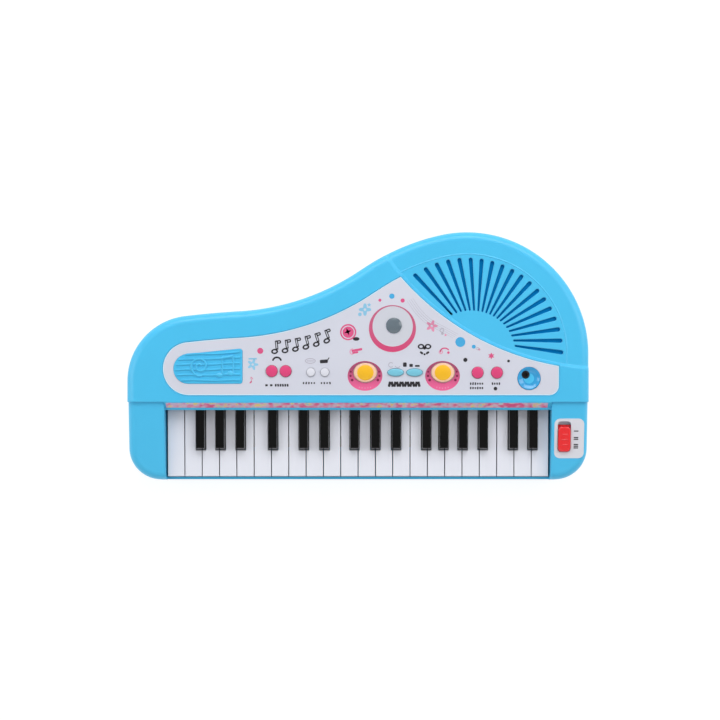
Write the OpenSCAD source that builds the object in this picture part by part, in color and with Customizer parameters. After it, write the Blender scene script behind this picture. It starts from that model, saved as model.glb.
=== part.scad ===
// Toy electronic keyboard with the outline of a small grand piano.
// The origin is the middle of the footprint, on the plane that the feet stand on.
// +X is the player's right, +Y points away from the player and +Z is up. Millimetres.

/* [Body] */
// Overall width
body_w = 400; // [398:0.5:402]
// Distance from the origin to the front edge, and to the rear edge
half_d = 108; // [107.5:0.5:109]
// Radius of the big round corner at the rear right
rear_r = 105.5; // [105:0.5:106]
// Height of the feet under the bottom shell
foot_h = 2; // [1.5:0.1:2.5]
// Height of the seam between the two shells
seam_z = 22; // [21.5:0.1:22]
// Height of the deck that carries the buttons
deck_z = 48; // [48:0.1:48.4]
// Shell wall thickness
wall = 2.2; // [2:0.1:2.4]
// How far the loudspeaker grille lies below the deck
fan_drop = 2; // [1.6:0.1:2]

/* [Keys] */
// Distance from one white key to the next
key_pitch = 15.14; // [15:0.01:15.16]
// Gap between neighbouring white keys
key_gap = 0.8; // [0.7:0.1:0.9]
// Width of a black key
black_w = 8.3; // [8:0.1:8.4]
// Gap between a black key and the notch it sits in
notch_gap = 0.45; // [0.4:0.05:0.5]
// Thickness of a key's side walls
key_wall = 1.2; // [1:0.1:1.3]
// Radius of the rail that the keys hang on
rail_r = 2; // [1.9:0.05:2]
// Running clearance between a key's hook and the rail
rail_fit = 0.08; // [0.06:0.01:0.1]

/* [Controls] */
// Radius of the four pink buttons
pink_r = 5; // [4.8:0.1:5]
// Radius of the two small white buttons
small_r = 3.7; // [3.5:0.1:3.9]
// Half width and half depth of the two oval buttons
oval_half = [7, 3.3];
// Half width and half depth of the two drum pads
drum_half = [10, 8.3];
// Gap around a button in its hole
button_gap = 0.3; // [0.25:0.05:0.35]
// Width, length and height over the cheek of the power knob
knob_size = [10.8, 22, 2.6];
// Travel of the power knob
knob_travel = 4; // [3:0.5:4]
// Radius of the microphone socket's bore
jack_bore_r = 1.8; // [1.75:0.05:1.8]

/* [Hidden] */
$fn = 48;
WHITE_COUNT = 22;

// Colours
SHELL_BLUE = [0.28, 0.74, 0.94];
PANEL_WHITE = [0.85, 0.86, 0.90];
KEY_WHITE = [0.93, 0.94, 0.96];
KEY_BLACK = [0.06, 0.06, 0.06];
PINK = [0.92, 0.29, 0.51];
PALE_BLUE = [0.50, 0.80, 0.90];
YELLOW = [0.98, 0.76, 0.12];
RED = [0.90, 0.12, 0.14];
LENS_GREY = [0.45, 0.51, 0.55];
BLACK = [0.08, 0.08, 0.09];
STEEL = [0.70, 0.71, 0.73];
BOARD = [0.10, 0.36, 0.20];
SILICONE = [0.62, 0.64, 0.66];
BATTERY = [0.20, 0.45, 0.30];

// Outline arcs, anticlockwise from the right side. Angles are of the arc's outward normal.
shoulder_r = 194;
waist_r = 209;
back_r = 783;
left_r = 56.5;
front_r = 28;
shoulder_a = 102.5;
slope_a = 123;
waist_a = 93.3;
back_a = 96.75;

function unit(a) = [cos(a), sin(a)];
rear_c = [body_w / 2 - rear_r, half_d - rear_r];
shoulder_c = rear_c - (shoulder_r - rear_r) * unit(shoulder_a);
slope_end = shoulder_c + shoulder_r * unit(slope_a);
// Centre of the left corner if the straight slope had no length
left_free = slope_end + waist_r * unit(slope_a) + (waist_r + back_r) * unit(waist_a + 180)
    + (back_r - left_r) * unit(back_a);
// The slope's length brings the left side to minus half the width
slope_len = (left_free.x - left_r + body_w / 2) / -cos(slope_a + 90);
waist_c = slope_end + slope_len * unit(slope_a + 90) + waist_r * unit(slope_a);
back_c = waist_c + (waist_r + back_r) * unit(waist_a + 180);
left_c = back_c + (back_r - left_r) * unit(back_a);
front_c = [body_w / 2 - front_r, front_r - half_d];

// Points on an arc of base radius r moved out by grow, with chords 0.08 mm from the true curve.
// A run that meets the next one smoothly leaves its last point to it.
function run(c, r, grow, a0, a1, last = 1) =
    let (n = ceil(sqrt(r) * abs(a1 - a0) / 45))
    [for (k = [0:n - 1 + last]) c + (r + grow) * unit(a0 + (a1 - a0) * k / n)];

// The body's outline moved inwards by d
function outline(d) = concat(
    run(rear_c, rear_r, -d, 0, shoulder_a, 0),
    run(shoulder_c, shoulder_r, -d, shoulder_a, slope_a),
    run(waist_c, waist_r, d, slope_a + 180, waist_a + 180, 0),
    run(back_c, back_r, -d, waist_a, back_a, 0),
    run(left_c, left_r, -d, back_a, 180),
    run([-front_c.x, front_c.y], front_r, -d, 180, 270),
    run(front_c, front_r, -d, 270, 360));

// Deck, grille and front edge
deck_t = 2.5;
roof_z = deck_z - deck_t;
fan_roof_z = roof_z - fan_drop;
deck_front_y = -39.5;
fascia_y = -46.4;
// The keys pass under the deck's front wall below this height
lintel_z = 42;
edge_in = 7.2;
// Rounded edge of the deck: inset and height from the deck
DECK_EDGE = [[0, -7], [0.9, -3.8], [2.8, -1.4], [6.5, 0]];
// Rounded lower edge of the bottom shell: inset and height from its underside
FLOOR_EDGE = [[2.5, 0], [0.8, 0.9], [0, 3]];
// Profile in Y and Z of the sloping front edge over the keys
FASCIA = [[-37, deck_z - 0.2], [-39.3, deck_z - 0.2], [-44.3, 41], [fascia_y, 40.3],
    [fascia_y, 38.7], [-43, 38.7], [-37, 46]];
well_x = 167.6;
fan_c = [213.5, 222.5];
fan_r = 232.5;
slot_count = 19;
slot_hub = [102.2, 13.9];
slot_first_a = 133.2;
slot_last_a = -8;
slot_inner_c = [98, 1.5];
slot_inner_r = 39;
slot_margin = 24.3;
slot_half_w = [0.85, 1.8];

// Cheeks beside the keys
cheek_z = 45.5;
cheek_slope = 8;
cheek_t = 2.4;
function cheek_top(y) = cheek_z + (y - deck_front_y) * tan(cheek_slope);

// Control panel
panel_t = 1.2;
panel_c = [-145.5, -10.5];
panel_r = 23;
panel_right = 173.5;
panel_corner_r = 8.5;
panel_step_in = 1.5;

// Emblem plate at the left end of the panel
emblem_c = [-146.5, -10.6];
emblem_r = 12.9;
emblem_right = -99.7;
emblem_top = 7;
emblem_h = 0.6;
// Staff lines in relief: number, pitch, length of the lowest, width and slope
staff_count = 5;
staff_pitch = 4.2;
staff_len = 54;
staff_w = 0.7;
staff_slope = 4;
staff_mid = [-130, -18.5];
// Ring in relief
relief_ring_at = [-134, -10];
relief_ring_r = [6.8, 8];

// Keys
bed_left = -WHITE_COUNT * key_pitch / 2;
hinge = [-22, 26];
key_front_y = -104.7;
key_rear_y = -25;
key_skirt_z = 16;
key_tail_z = 22;
notch_y = -82;
key_top_t = 1.8;
hook_w = 5;
hook_r = rail_r + 1.8;
black_front_y = -81.4;
black_z = 38;
black_tail_z = 31.4;
white_contact_y = -58;
black_contact_y = -66;
contact_z = 17.3;
// Each black key: the number of the joint between white keys it covers, and its offset from it
BLACKS = [[2, -1], [3, 1], [4, 3.5], [6, 1.5], [8, -2], [9, 1], [11, -3], [12, 0], [13, 3],
    [15, -1], [16, -1], [17, 0.5], [18, 3], [20, -1], [21, 1]];
function joint_x(j) = bed_left + j * key_pitch;
function black_x(b) = joint_x(b[0]) + b[1];
function black_over(j) = [for (b = BLACKS) if (b[0] == j) b];
// Edge of a white key's narrow rear part at joint j; side is 1 for its left edge, -1 for its right
function rear_edge(j, side) = let (b = black_over(j))
    len(b) == 0 ? joint_x(j) + side * key_gap / 2
    : black_x(b[0]) + side * (black_w / 2 + notch_gap);
function white_mid(i) = (rear_edge(i - 1, 1) + rear_edge(i, -1)) / 2;

// Buttons: place and half sizes
PINK_AT = [[-74.5, -12.6], [-62.5, -12.6], [103.2, -13.9], [119.9, -13.9]];
SMALL_AT = [[-40.7, -13.5], [-28.7, -13.5]];
OVAL_AT = [[32.4, -13.7], [48.8, -13.7]];
DRUM_AT = [[6.3, -13.9], [73.2, -13.9]];
BUTTONS = concat(
    [for (p = PINK_AT) [p, [pink_r, pink_r]]],
    [for (p = SMALL_AT) [p, [small_r, small_r]]],
    [for (p = OVAL_AT) [p, oval_half]],
    [for (p = DRUM_AT) [p, drum_half]]);
button_rise = 2;
drum_rise = 3;
// The pad's rim is lower than its middle, and the middle is smaller by this much
drum_step = 1.4;
drum_inset = [2.8, 2.3];
stem_r = 1.5;
stem_z = 41.4;
flange_out = 0.7;
flange_t = 1.5;
flange_gap = 0.4;

// Lens, microphone socket and power knob
lens_at = [31, 26.8];
lens_r = 6.75;
dish_at = [147.6, -18.9];
dish_r = 10;
jack_at = [144.7, -15.6];
jack_r = 3.4;
jack_top = deck_z - 0.6;
jack_bore_len = 13;
knob_at = [178.8, -71.5];
knob_gap = 0.4;
// The switch board hangs under the cheek on two posts, in the knob's own tilted frame
SWITCH_POSTS = [-14.5, 18.5];
switch_board_z = -12;

// Circuit boards
board_t = 1.6;
main_board_z = 38;
key_board_z = 11.6;
BOARD_SCREWS = [[-84, -26], [-50, -4], [60, -27], [126, -27]];
KEY_BOARD_SCREWS = [for (x = [-150, -50, 50, 150]) [x, -76]];

// Loudspeaker
speaker_c = [120, 50];
speaker_r = 34.6;
speaker_screw_r = 37.3;
speaker_rim_z = fan_roof_z - 0.2;
// Half sections of the steel basket with its magnet, and of the paper cone
BASKET = [[0, 23], [16, 23], [16, 31], [19, 31], [30, 40], [speaker_r, 40.9],
    [speaker_r, speaker_rim_z], [31.5, speaker_rim_z], [31.5, 41.6], [29, 41.2], [18, 32.2], [0, 32.2]];
CONE = [[0, 33.5], [7, 33.5], [7.6, 33], [29.8, 41.9], [31.2, 42.1], [31.2, 42.6], [29.5, 42.6],
    [8.2, 34.2], [6, 36], [0, 36.8]];
SPEAKER_SCREWS = [for (a = [30, 150, 270]) speaker_c + speaker_screw_r * unit(a)];

// Battery bay
bay_lo = [-10.4, -8.4];
bay_hi = [48.4, 53.4];
bay_wall = 1.6;
bay_top = 19.6;
cell_r = 7.1;
cell_len = 50;
cell_lift = 0.8;
cell_count = 4;
cell_pitch = 15;

// Screws that join the shells, and the feet
floor_z = foot_h + wall;
SCREWS = [[-186, -28], [186, -28], [-120, 20], [-100, -8], [-60, 32], [22, 66], [66, 14], [80, 96],
    [165, 68]];
CHEEK_SCREWS = [[-183, -95], [183, -95]];
FEET = [[-160, -97], [0, -97], [160, -97], [-165, 5], [50, 78], [150, 40]];
foot_r = 6;
boss_r = 4.5;
stub_r = 3.8;
screw_head_z = 11.5;
screw_r = 1.4;
counterbore_r = 3.3;
screw_way_r = 1.75;
// Screws of the boards, and of the loudspeaker and switch, and the holes they cut their thread in
board_screw_r = 1;
board_hole_r = 1.05;
thin_screw_r = 0.8;
thin_hole_r = 0.85;

function two_digits(i) = str(i < 10 ? "0" : "", i);
BUTTON_NODES = ["pink_button_1", "pink_button_2", "pink_button_3", "pink_button_4",
    "white_button_1", "white_button_2", "oval_button_1", "oval_button_2",
    "drum_pad_1", "drum_pad_2"];

// ---- Shared shapes ----

// A box between two corners
module block(lo, hi) {
    translate(lo) cube(hi - lo);
}

// A round post between two heights
module post(at, r, z0, z1) {
    translate([at.x, at.y, z0]) cylinder(r = r, h = z1 - z0);
}

// A shape drawn in Y and Z, running from x0 to x1
module along_x(x0, x1) {
    translate([x0, 0, 0]) rotate([90, 0, 90]) linear_extrude(x1 - x0) children();
}

// The outline moved in by d, between two heights
module slab(d, z0, z1) {
    translate([0, 0, z0]) linear_extrude(z1 - z0) polygon(outline(d));
}

// A solid skinned through outlines: each ring is [inset, height]
module loft(rings) {
    n = len(outline(0));
    polyhedron(
        points = [for (r = rings) for (p = outline(r[0])) [p.x, p.y, r[1]]],
        faces = concat(
            [[for (i = [0:n - 1]) i]],
            [[for (i = [n - 1:-1:0]) (len(rings) - 1) * n + i]],
            [for (j = [0:len(rings) - 2]) for (i = [0:n - 1])
                [j * n + i, (j + 1) * n + i, (j + 1) * n + (i + 1) % n, j * n + (i + 1) % n]]));
}

module ellipse(half) {
    steps = 40;
    polygon([for (k = [0:steps - 1]) [half.x * cos(360 * k / steps), half.y * sin(360 * k / steps)]]);
}

// A button's plan, grown by g
module button_plan(half, g) {
    if (half.x == half.y) circle(half.x + g);
    else ellipse([half.x + g, half.y + g]);
}

module at_knob() {
    translate([knob_at.x, knob_at.y, cheek_top(knob_at.y)]) rotate([cheek_slope, 0, 0]) children();
}

// ---- Flat shapes of the deck ----

module fan_disc(g) {
    translate(fan_c) circle(fan_r + g, $fn = 360);
}

module emblem_plan(g) {
    translate(emblem_c) circle(emblem_r + g);
    polygon([[emblem_c.x, emblem_c.y - emblem_r - g], [emblem_right + g, emblem_c.y - emblem_r - g],
        [emblem_right + g, emblem_top + g], [emblem_c.x, emblem_c.y + emblem_r + g]]);
}

// The panel's plan with every edge moved in by g
module panel_plan(g) {
    low = panel_c.y - panel_r + g;
    corner_x = panel_right - panel_corner_r;
    difference() {
        intersection() {
            polygon(outline(panel_r + g));
            union() {
                translate(panel_c) circle(panel_r - g);
                translate([panel_c.x, low]) square([corner_x - panel_c.x, half_d]);
                translate([panel_c.x, low + panel_corner_r - g])
                    square([panel_right - g - panel_c.x, half_d]);
                translate([corner_x, low + panel_corner_r - g]) circle(panel_corner_r - g);
            }
        }
        fan_disc(panel_step_in + g);
    }
}

// Distance from p in direction a to the circle of radius r around c
function to_circle(p, a, c, r) =
    let (q = p - c, b = q * unit(a)) -b + sqrt(b * b - q * q + r * r);

// One grille slot: a bar that widens outwards, with round ends
module grille_slot(a) {
    inner = to_circle(slot_hub, a, slot_inner_c, slot_inner_r);
    outer = min(to_circle(slot_hub, a, rear_c, rear_r - slot_margin),
        to_circle(slot_hub, a, shoulder_c, shoulder_r - slot_margin));
    w0 = slot_half_w[0];
    w1 = slot_half_w[1];
    translate(slot_hub) rotate(a) {
        polygon([[inner, -w0], [outer, -w1], [outer, w1], [inner, w0]]);
        translate([inner, 0]) circle(w0, $fn = 16);
        translate([outer, 0]) circle(w1, $fn = 16);
    }
}

// ---- Casing ----

module bottom_shell() {
    rail_end = 166.5;
    rib_half = 0.8;
    lip_z = 18;
    guide_y = [-95, -91];
    color(SHELL_BLUE) difference() {
        union() {
            difference() {
                loft(concat([for (e = FLOOR_EDGE) [e[0], foot_h + e[1]]], [[0, seam_z]]));
                slab(wall, floor_z, seam_z + 1);
                block([-well_x, -half_d - 1, lip_z], [well_x, -half_d + wall + 1, seam_z + 1]);
            }
            // Key rail on its rib
            along_x(-rail_end, rail_end) {
                translate(hinge) circle(rail_r);
                translate([hinge.x - rib_half, floor_z - 0.1])
                    square([2 * rib_half, hinge.y - floor_z]);
            }
            // A post inside each white key keeps it straight
            for (i = [1:WHITE_COUNT]) {
                x = joint_x(i - 0.5);
                half = key_pitch / 2 - key_gap / 2 - key_wall - 0.5;
                block([x - half, guide_y[0], floor_z - 0.1], [x + half, guide_y[1], seam_z]);
            }
            // Walls and roof of the battery bay
            block([bay_lo.x - bay_wall, bay_lo.y - bay_wall, floor_z - 0.1],
                [bay_hi.x + bay_wall, bay_hi.y + bay_wall, bay_top + bay_wall]);
            for (p = concat(SCREWS, CHEEK_SCREWS)) post(p, boss_r, floor_z - 0.1, seam_z);
            for (p = KEY_BOARD_SCREWS) post(p, 3, floor_z - 0.1, key_board_z - board_t);
        }
        block([bay_lo.x, bay_lo.y, foot_h - 1], [bay_hi.x, bay_hi.y, bay_top]);
        for (p = concat(SCREWS, CHEEK_SCREWS)) {
            post(p, counterbore_r, foot_h - 1, screw_head_z);
            post(p, screw_way_r, screw_head_z - 1, seam_z + 1);
        }
        for (p = KEY_BOARD_SCREWS) post(p, board_hole_r, floor_z + 0.5, key_board_z);
        for (p = FEET) post(p, foot_r, foot_h - 1, foot_h + 1);
    }
}

// Hollow under the deck, with a lower roof under the grille
module deck_hollow() {
    intersection() {
        union() {
            slab(wall, seam_z - 1, deck_z - 6);
            slab(edge_in, deck_z - 7, fan_roof_z);
            difference() {
                slab(edge_in, fan_roof_z - 1, roof_z);
                translate([0, 0, fan_roof_z - 2]) linear_extrude(deck_t + fan_drop + 4) fan_disc(2.5);
            }
        }
        block([-body_w, deck_front_y + 3, 0], [body_w, body_w, deck_z]);
    }
    block([-well_x, deck_front_y - 0.1, seam_z - 1], [well_x, deck_front_y + 3.1, lintel_z]);
}

// One cheek or its hollow: sx is its side, t the thickness taken off every face
module cheek(sx, t) {
    y0 = -half_d - 1;
    y1 = deck_front_y + (t > 0 ? 3.5 : 0.1);
    intersection() {
        slab(t > 0 ? wall : 0, seam_z - (t > 0 ? 1 : 0), cheek_z + 1);
        mirror([sx < 0 ? 1 : 0, 0, 0])
            along_x(well_x + (t > 0 ? wall : 0), body_w)
            polygon([[y0, 0], [y1, 0], [y1, cheek_top(min(y1, deck_front_y)) - t],
                [deck_front_y, cheek_z - t], [y0, cheek_top(y0) - t]]);
    }
}

// Raised staff lines and a ring on the emblem plate
module emblem_relief() {
    for (k = [0:staff_count - 1]) {
        translate(staff_mid + [0, staff_pitch * k]) rotate(staff_slope)
            square([staff_len - 3 * k, staff_w], center = true);
    }
    translate(relief_ring_at) difference() {
        circle(relief_ring_r[1]);
        circle(relief_ring_r[0]);
    }
}

module top_shell() {
    boss_top = roof_z + 0.3;
    color(SHELL_BLUE) difference() {
        union() {
            difference() {
                union() {
                    intersection() {
                        loft(concat([[0, seam_z]], [for (e = DECK_EDGE) [e[0], deck_z + e[1]]]));
                        block([-body_w, deck_front_y, 0], [body_w, body_w, body_w]);
                    }
                    cheek(1, 0);
                    cheek(-1, 0);
                }
                deck_hollow();
                cheek(1, cheek_t);
                cheek(-1, cheek_t);
            }
            // Sloping front edge of the deck over the keys
            along_x(-well_x - 0.1, well_x + 0.1) polygon(FASCIA);
            for (p = SCREWS) post(p, stub_r, seam_z, boss_top);
            for (p = CHEEK_SCREWS) post(p, stub_r, seam_z, cheek_top(p.y) - 1.5);
            for (p = BOARD_SCREWS) post(p, 2.5, main_board_z, boss_top);
            for (p = SPEAKER_SCREWS) post(p, 2.2, 40.9, fan_roof_z + 0.5);
            at_knob() {
                for (y = SWITCH_POSTS) post([0, y], 1.8, switch_board_z, -cheek_t + 0.5);
            }
        }
        // Step down to the grille, and the recess for the panel
        translate([0, 0, deck_z - fan_drop]) linear_extrude(5) fan_disc(0);
        translate([0, 0, deck_z - panel_t]) linear_extrude(5) difference() {
            panel_plan(0);
            emblem_plan(0);
            translate(dish_at) circle(dish_r);
        }
        translate([0, 0, deck_z - 0.6]) linear_extrude(5) intersection() {
            panel_plan(-1);
            translate(dish_at) circle(dish_r);
        }
        translate([dish_at.x, dish_at.y, deck_z - 1.8]) cylinder(r1 = 6.5, r2 = 9.2, h = 1.3);
        translate([0, 0, fan_roof_z - 1]) linear_extrude(5) {
            for (k = [0:slot_count - 1]) {
                grille_slot(slot_first_a + (slot_last_a - slot_first_a) * k / (slot_count - 1));
            }
        }
        translate([0, 0, roof_z - 1]) linear_extrude(5) {
            for (b = BUTTONS) translate(b[0]) button_plan(b[1], button_gap);
        }
        post(lens_at, lens_r - 0.5, roof_z - 1, deck_z + 1);
        post(jack_at, jack_r + 0.2, roof_z - 1, deck_z + 1);
        for (p = SCREWS) post(p, screw_r + 0.05, seam_z - 1, 35);
        for (p = CHEEK_SCREWS) post(p, screw_r + 0.05, seam_z - 1, 29.5);
        for (p = BOARD_SCREWS) post(p, board_hole_r, main_board_z - 1, 43.5);
        for (p = SPEAKER_SCREWS) post(p, thin_hole_r, 40, 44);
        at_knob() {
            block([-knob_size.x / 2 - knob_gap, -knob_size.y / 2 - knob_gap, -cheek_t - 1],
                [knob_size.x / 2 + knob_gap, knob_size.y / 2 + knob_travel + knob_gap, 5]);
            for (y = SWITCH_POSTS) post([0, y], thin_hole_r, switch_board_z - 1, -5);
        }
    }
    color(SHELL_BLUE) translate([0, 0, deck_z - 0.05]) linear_extrude(emblem_h + 0.05) emblem_relief();
}

module control_panel() {
    color(PANEL_WHITE) translate([0, 0, deck_z - panel_t]) linear_extrude(panel_t) difference() {
        panel_plan(0.15);
        emblem_plan(0.15);
        translate(dish_at) circle(dish_r + 0.15);
        translate(lens_at) circle(lens_r + 0.15);
        for (b = BUTTONS) translate(b[0]) button_plan(b[1], button_gap);
    }
}

module feet() {
    color(BLACK) {
        for (p = FEET) post(p, foot_r, 0, foot_h + 1);
    }
}

module battery_door() {
    gap = 0.3;
    color(SHELL_BLUE) difference() {
        union() {
            block([bay_lo.x + gap, bay_lo.y + gap, foot_h], [bay_hi.x - gap, bay_hi.y - gap, floor_z]);
            for (x = [0, 19, 38]) {
                block([x - 0.8, bay_lo.y + 2, floor_z - 0.1], [x + 0.8, bay_hi.y - 2, floor_z + 0.5]);
            }
        }
        // Grip for a finger nail
        for (k = [0:2]) {
            block([11, -4 + 3 * k, foot_h - 1], [27, -2.8 + 3 * k, foot_h + 0.8]);
        }
    }
}

// ---- Keys ----

// The hook at a key's tail that snaps over the rail, and the web that carries it
module key_hook(x) {
    half_open = 1.6;
    along_x(x - hook_w / 2, x + hook_w / 2) difference() {
        union() {
            translate(hinge) circle(hook_r);
            translate([hinge.x - 5.5, hinge.y - 2]) square([5.5, 2 + hook_r]);
        }
        translate(hinge) circle(rail_r + rail_fit);
        translate([hinge.x - half_open, hinge.y - hook_r - 1]) square([2 * half_open, hook_r + 1]);
    }
}

module white_key(i) {
    x = [joint_x(i - 1) + key_gap / 2, joint_x(i) - key_gap / 2];
    r = [rear_edge(i - 1, 1), rear_edge(i, -1)];
    front_z = 29;
    rear_z = 31;
    mid_z = front_z + (rear_z - front_z) * (notch_y - key_front_y) / (fascia_y - key_front_y);
    nose = 0.5;
    color(KEY_WHITE) {
        difference() {
            union() {
                along_x(x[0], x[1]) polygon([[key_front_y, key_skirt_z],
                    [key_front_y, front_z - nose], [key_front_y + nose, front_z],
                    [notch_y, mid_z], [notch_y, key_tail_z], [notch_y - 2, key_skirt_z]]);
                along_x(r[0], r[1]) polygon([[notch_y - 1, key_tail_z], [notch_y - 1, mid_z - 0.1],
                    [notch_y, mid_z], [fascia_y, rear_z], [key_rear_y, rear_z],
                    [key_rear_y, key_tail_z]]);
            }
            along_x(x[0] + key_wall, x[1] - key_wall) polygon([
                [key_front_y + key_wall, key_skirt_z - 1],
                [key_front_y + key_wall, front_z - key_top_t],
                [notch_y - key_wall, mid_z - key_top_t], [notch_y - key_wall, key_skirt_z - 1]]);
            for (y = [[notch_y, white_contact_y - 1], [white_contact_y + 1, key_rear_y - 3]]) {
                block([r[0] + key_wall, y[0], key_tail_z - 1],
                    [r[1] - key_wall, y[1], mid_z - key_top_t]);
            }
        }
        block([white_mid(i) - 2.5, white_contact_y - 1, contact_z],
            [white_mid(i) + 2.5, white_contact_y + 1, key_tail_z + 1]);
        key_hook(white_mid(i));
    }
}

module black_key(i) {
    x = black_x(BLACKS[i - 1]);
    half = black_w / 2;
    top_half = half - 0.65;
    low_z = 23;
    tall_end = fascia_y + 1;
    color(KEY_BLACK) {
        difference() {
            intersection() {
                along_x(x - half, x + half) polygon([[black_front_y, low_z],
                    [black_front_y, black_tail_z], [black_front_y + 1.8, black_z - 0.6],
                    [black_front_y + 2.4, black_z], [tall_end, black_z], [tall_end, black_tail_z],
                    [key_rear_y, black_tail_z], [key_rear_y, low_z]]);
                translate([x, key_rear_y + 1, 0]) rotate([90, 0, 0])
                    linear_extrude(key_rear_y + 2 - black_front_y)
                    polygon([[-half, low_z - 1], [half, low_z - 1], [half, black_tail_z],
                        [top_half, black_z + 0.1], [-top_half, black_z + 0.1], [-half, black_tail_z]]);
            }
            for (y = [[black_front_y + 2.4, black_contact_y - 1],
                    [black_contact_y + 1, tall_end - key_top_t]]) {
                block([x - half + 1.6, y[0], low_z - 1], [x + half - 1.6, y[1], black_z - key_top_t]);
            }
            block([x - half + key_wall, tall_end - 3, low_z - 1],
                [x + half - key_wall, key_rear_y - 3, black_tail_z - key_top_t]);
        }
        block([x - 2, black_contact_y - 1, contact_z], [x + 2, black_contact_y + 1, low_z + 1]);
        key_hook(x);
    }
}

// ---- Controls ----

// A push button: cap, retaining flange and stem. rise is the cap's height over the deck.
module button(b, rise, tint) {
    flange_z = roof_z - flange_gap - flange_t;
    color(tint) translate([b[0].x, b[0].y, 0]) {
        translate([0, 0, flange_z]) linear_extrude(deck_z + rise - flange_z) button_plan(b[1], 0);
        translate([0, 0, flange_z]) linear_extrude(flange_t) button_plan(b[1], flange_out);
        post([0, 0], stem_r, stem_z, flange_z + 0.1);
    }
}

module drum_pad(i) {
    b = BUTTONS[7 + i];
    button(b, drum_rise - drum_step, YELLOW);
    color(YELLOW) translate([b[0].x, b[0].y, deck_z]) linear_extrude(drum_rise)
        ellipse(drum_half - drum_inset);
}

module power_knob() {
    half = [knob_size.x / 2, knob_size.y / 2];
    color(RED) at_knob() {
        difference() {
            block([-half.x, -half.y, -cheek_t - 1.7], [half.x, half.y, knob_size.z]);
            // Finger grooves across the top
            for (y = [-5.5, 0, 5.5]) {
                block([-half.x - 1, y - 0.7, knob_size.z - 0.8], [half.x + 1, y + 0.7, knob_size.z + 1]);
            }
        }
        block([-half.x - 1.6, -half.y - 1, -cheek_t - 1.7], [half.x + 1.6, half.y + 1, -cheek_t - 0.5]);
        block([-2, -3, -8], [2, 3, -cheek_t - 1.6]);
    }
}

module light_lens() {
    dome_r = 18;
    top_z = deck_z + 2;
    color(LENS_GREY) {
        intersection() {
            post(lens_at, lens_r, deck_z - panel_t, deck_z + 3);
            translate([lens_at.x, lens_at.y, top_z - dome_r]) sphere(dome_r);
        }
        difference() {
            post(lens_at, lens_r - 0.7, roof_z - 1, deck_z - panel_t + 0.1);
            post(lens_at, lens_r - 1.9, roof_z - 2, deck_z - panel_t);
        }
    }
}

module mic_jack() {
    bore_z = jack_top - jack_bore_len;
    color(BLACK) difference() {
        union() {
            post(jack_at, jack_r, 40, jack_top);
            block([jack_at.x - 4.5, jack_at.y - 5.5, bore_z - 1.5],
                [jack_at.x + 4.5, jack_at.y + 5.5, 42.5]);
        }
        post(jack_at, jack_bore_r, bore_z, jack_top + 1);
    }
}

// ---- Inside ----

module circuit_boards() {
    low = main_board_z - board_t;
    color(BOARD) {
        difference() {
            union() {
                block([-90, -31, low], [131, -1, main_board_z]);
                block([18, -2, low], [44, 38, main_board_z]);
            }
            for (p = BOARD_SCREWS) post(p, 1.2, low - 1, main_board_z + 1);
        }
        difference() {
            block([-166, -80, key_board_z - board_t], [166, -52, key_board_z]);
            for (p = KEY_BOARD_SCREWS) post(p, 1.2, key_board_z - 2, key_board_z + 1);
        }
        at_knob() difference() {
            block([-8, -17, switch_board_z - board_t], [8, 21, switch_board_z]);
            for (y = SWITCH_POSTS) post([0, y], 1.1, switch_board_z - 3, switch_board_z + 1);
        }
    }
    // Sound chips, lamp, slide switch body and battery wire terminals
    color(BLACK) {
        for (x = [-30, 92]) block([x - 8, -23, low - 2], [x + 8, -7, low]);
        post(lens_at, 2.5, main_board_z, main_board_z + 5.5);
        block([24, 4, low - 3], [38, 10, low]);
        at_knob() difference() {
            block([-6, -9, switch_board_z], [6, 13, -6.2]);
            block([-2.6, -3.6, -9], [2.6, 3.6 + knob_travel, -5]);
        }
    }
}

// Silicone sheets with a springy dome under every key and button
module contact_strips() {
    color(SILICONE) {
        block([-165, -70, key_board_z], [165, -54, key_board_z + 0.8]);
        for (i = [1:WHITE_COUNT]) {
            translate([white_mid(i), white_contact_y, key_board_z + 0.7])
                cylinder(r1 = 3, r2 = 2.2, h = contact_z - key_board_z - 1);
        }
        for (b = BLACKS) {
            translate([black_x(b), black_contact_y, key_board_z + 0.7])
                cylinder(r1 = 3, r2 = 2.2, h = contact_z - key_board_z - 1);
        }
        for (b = BUTTONS) {
            translate([b[0].x, b[0].y, main_board_z]) cylinder(r1 = 3, r2 = 2.2, h = 3.1);
        }
    }
}

module speaker() {
    translate([speaker_c.x, speaker_c.y, 0]) {
        color(STEEL) rotate_extrude() polygon(BASKET);
        color(BLACK) rotate_extrude() polygon(CONE);
    }
}

module screws() {
    color(STEEL) {
        for (p = SCREWS) {
            post(p, 3, screw_head_z - 2, screw_head_z - 0.1);
            post(p, screw_r, screw_head_z - 0.2, 34);
        }
        for (p = CHEEK_SCREWS) {
            post(p, 3, screw_head_z - 2, screw_head_z - 0.1);
            post(p, screw_r, screw_head_z - 0.2, 28.5);
        }
        for (p = BOARD_SCREWS) {
            post(p, 2, main_board_z - board_t - 1.4, main_board_z - board_t);
            post(p, board_screw_r, main_board_z - board_t - 0.1, 43);
        }
        for (p = KEY_BOARD_SCREWS) {
            post(p, 2.2, key_board_z, key_board_z + 1.4);
            post(p, board_screw_r, 5.5, key_board_z + 0.1);
        }
        for (p = SPEAKER_SCREWS) {
            post(p, 3.4, 39.4, 40.8);
            post(p, thin_screw_r, 40.7, 43.6);
        }
        at_knob() {
            head_z = switch_board_z - board_t;
            for (y = SWITCH_POSTS) {
                post([0, y], 1.8, head_z - 1.3, head_z);
                post([0, y], thin_screw_r, head_z - 0.1, -5.5);
            }
        }
    }
}

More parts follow.
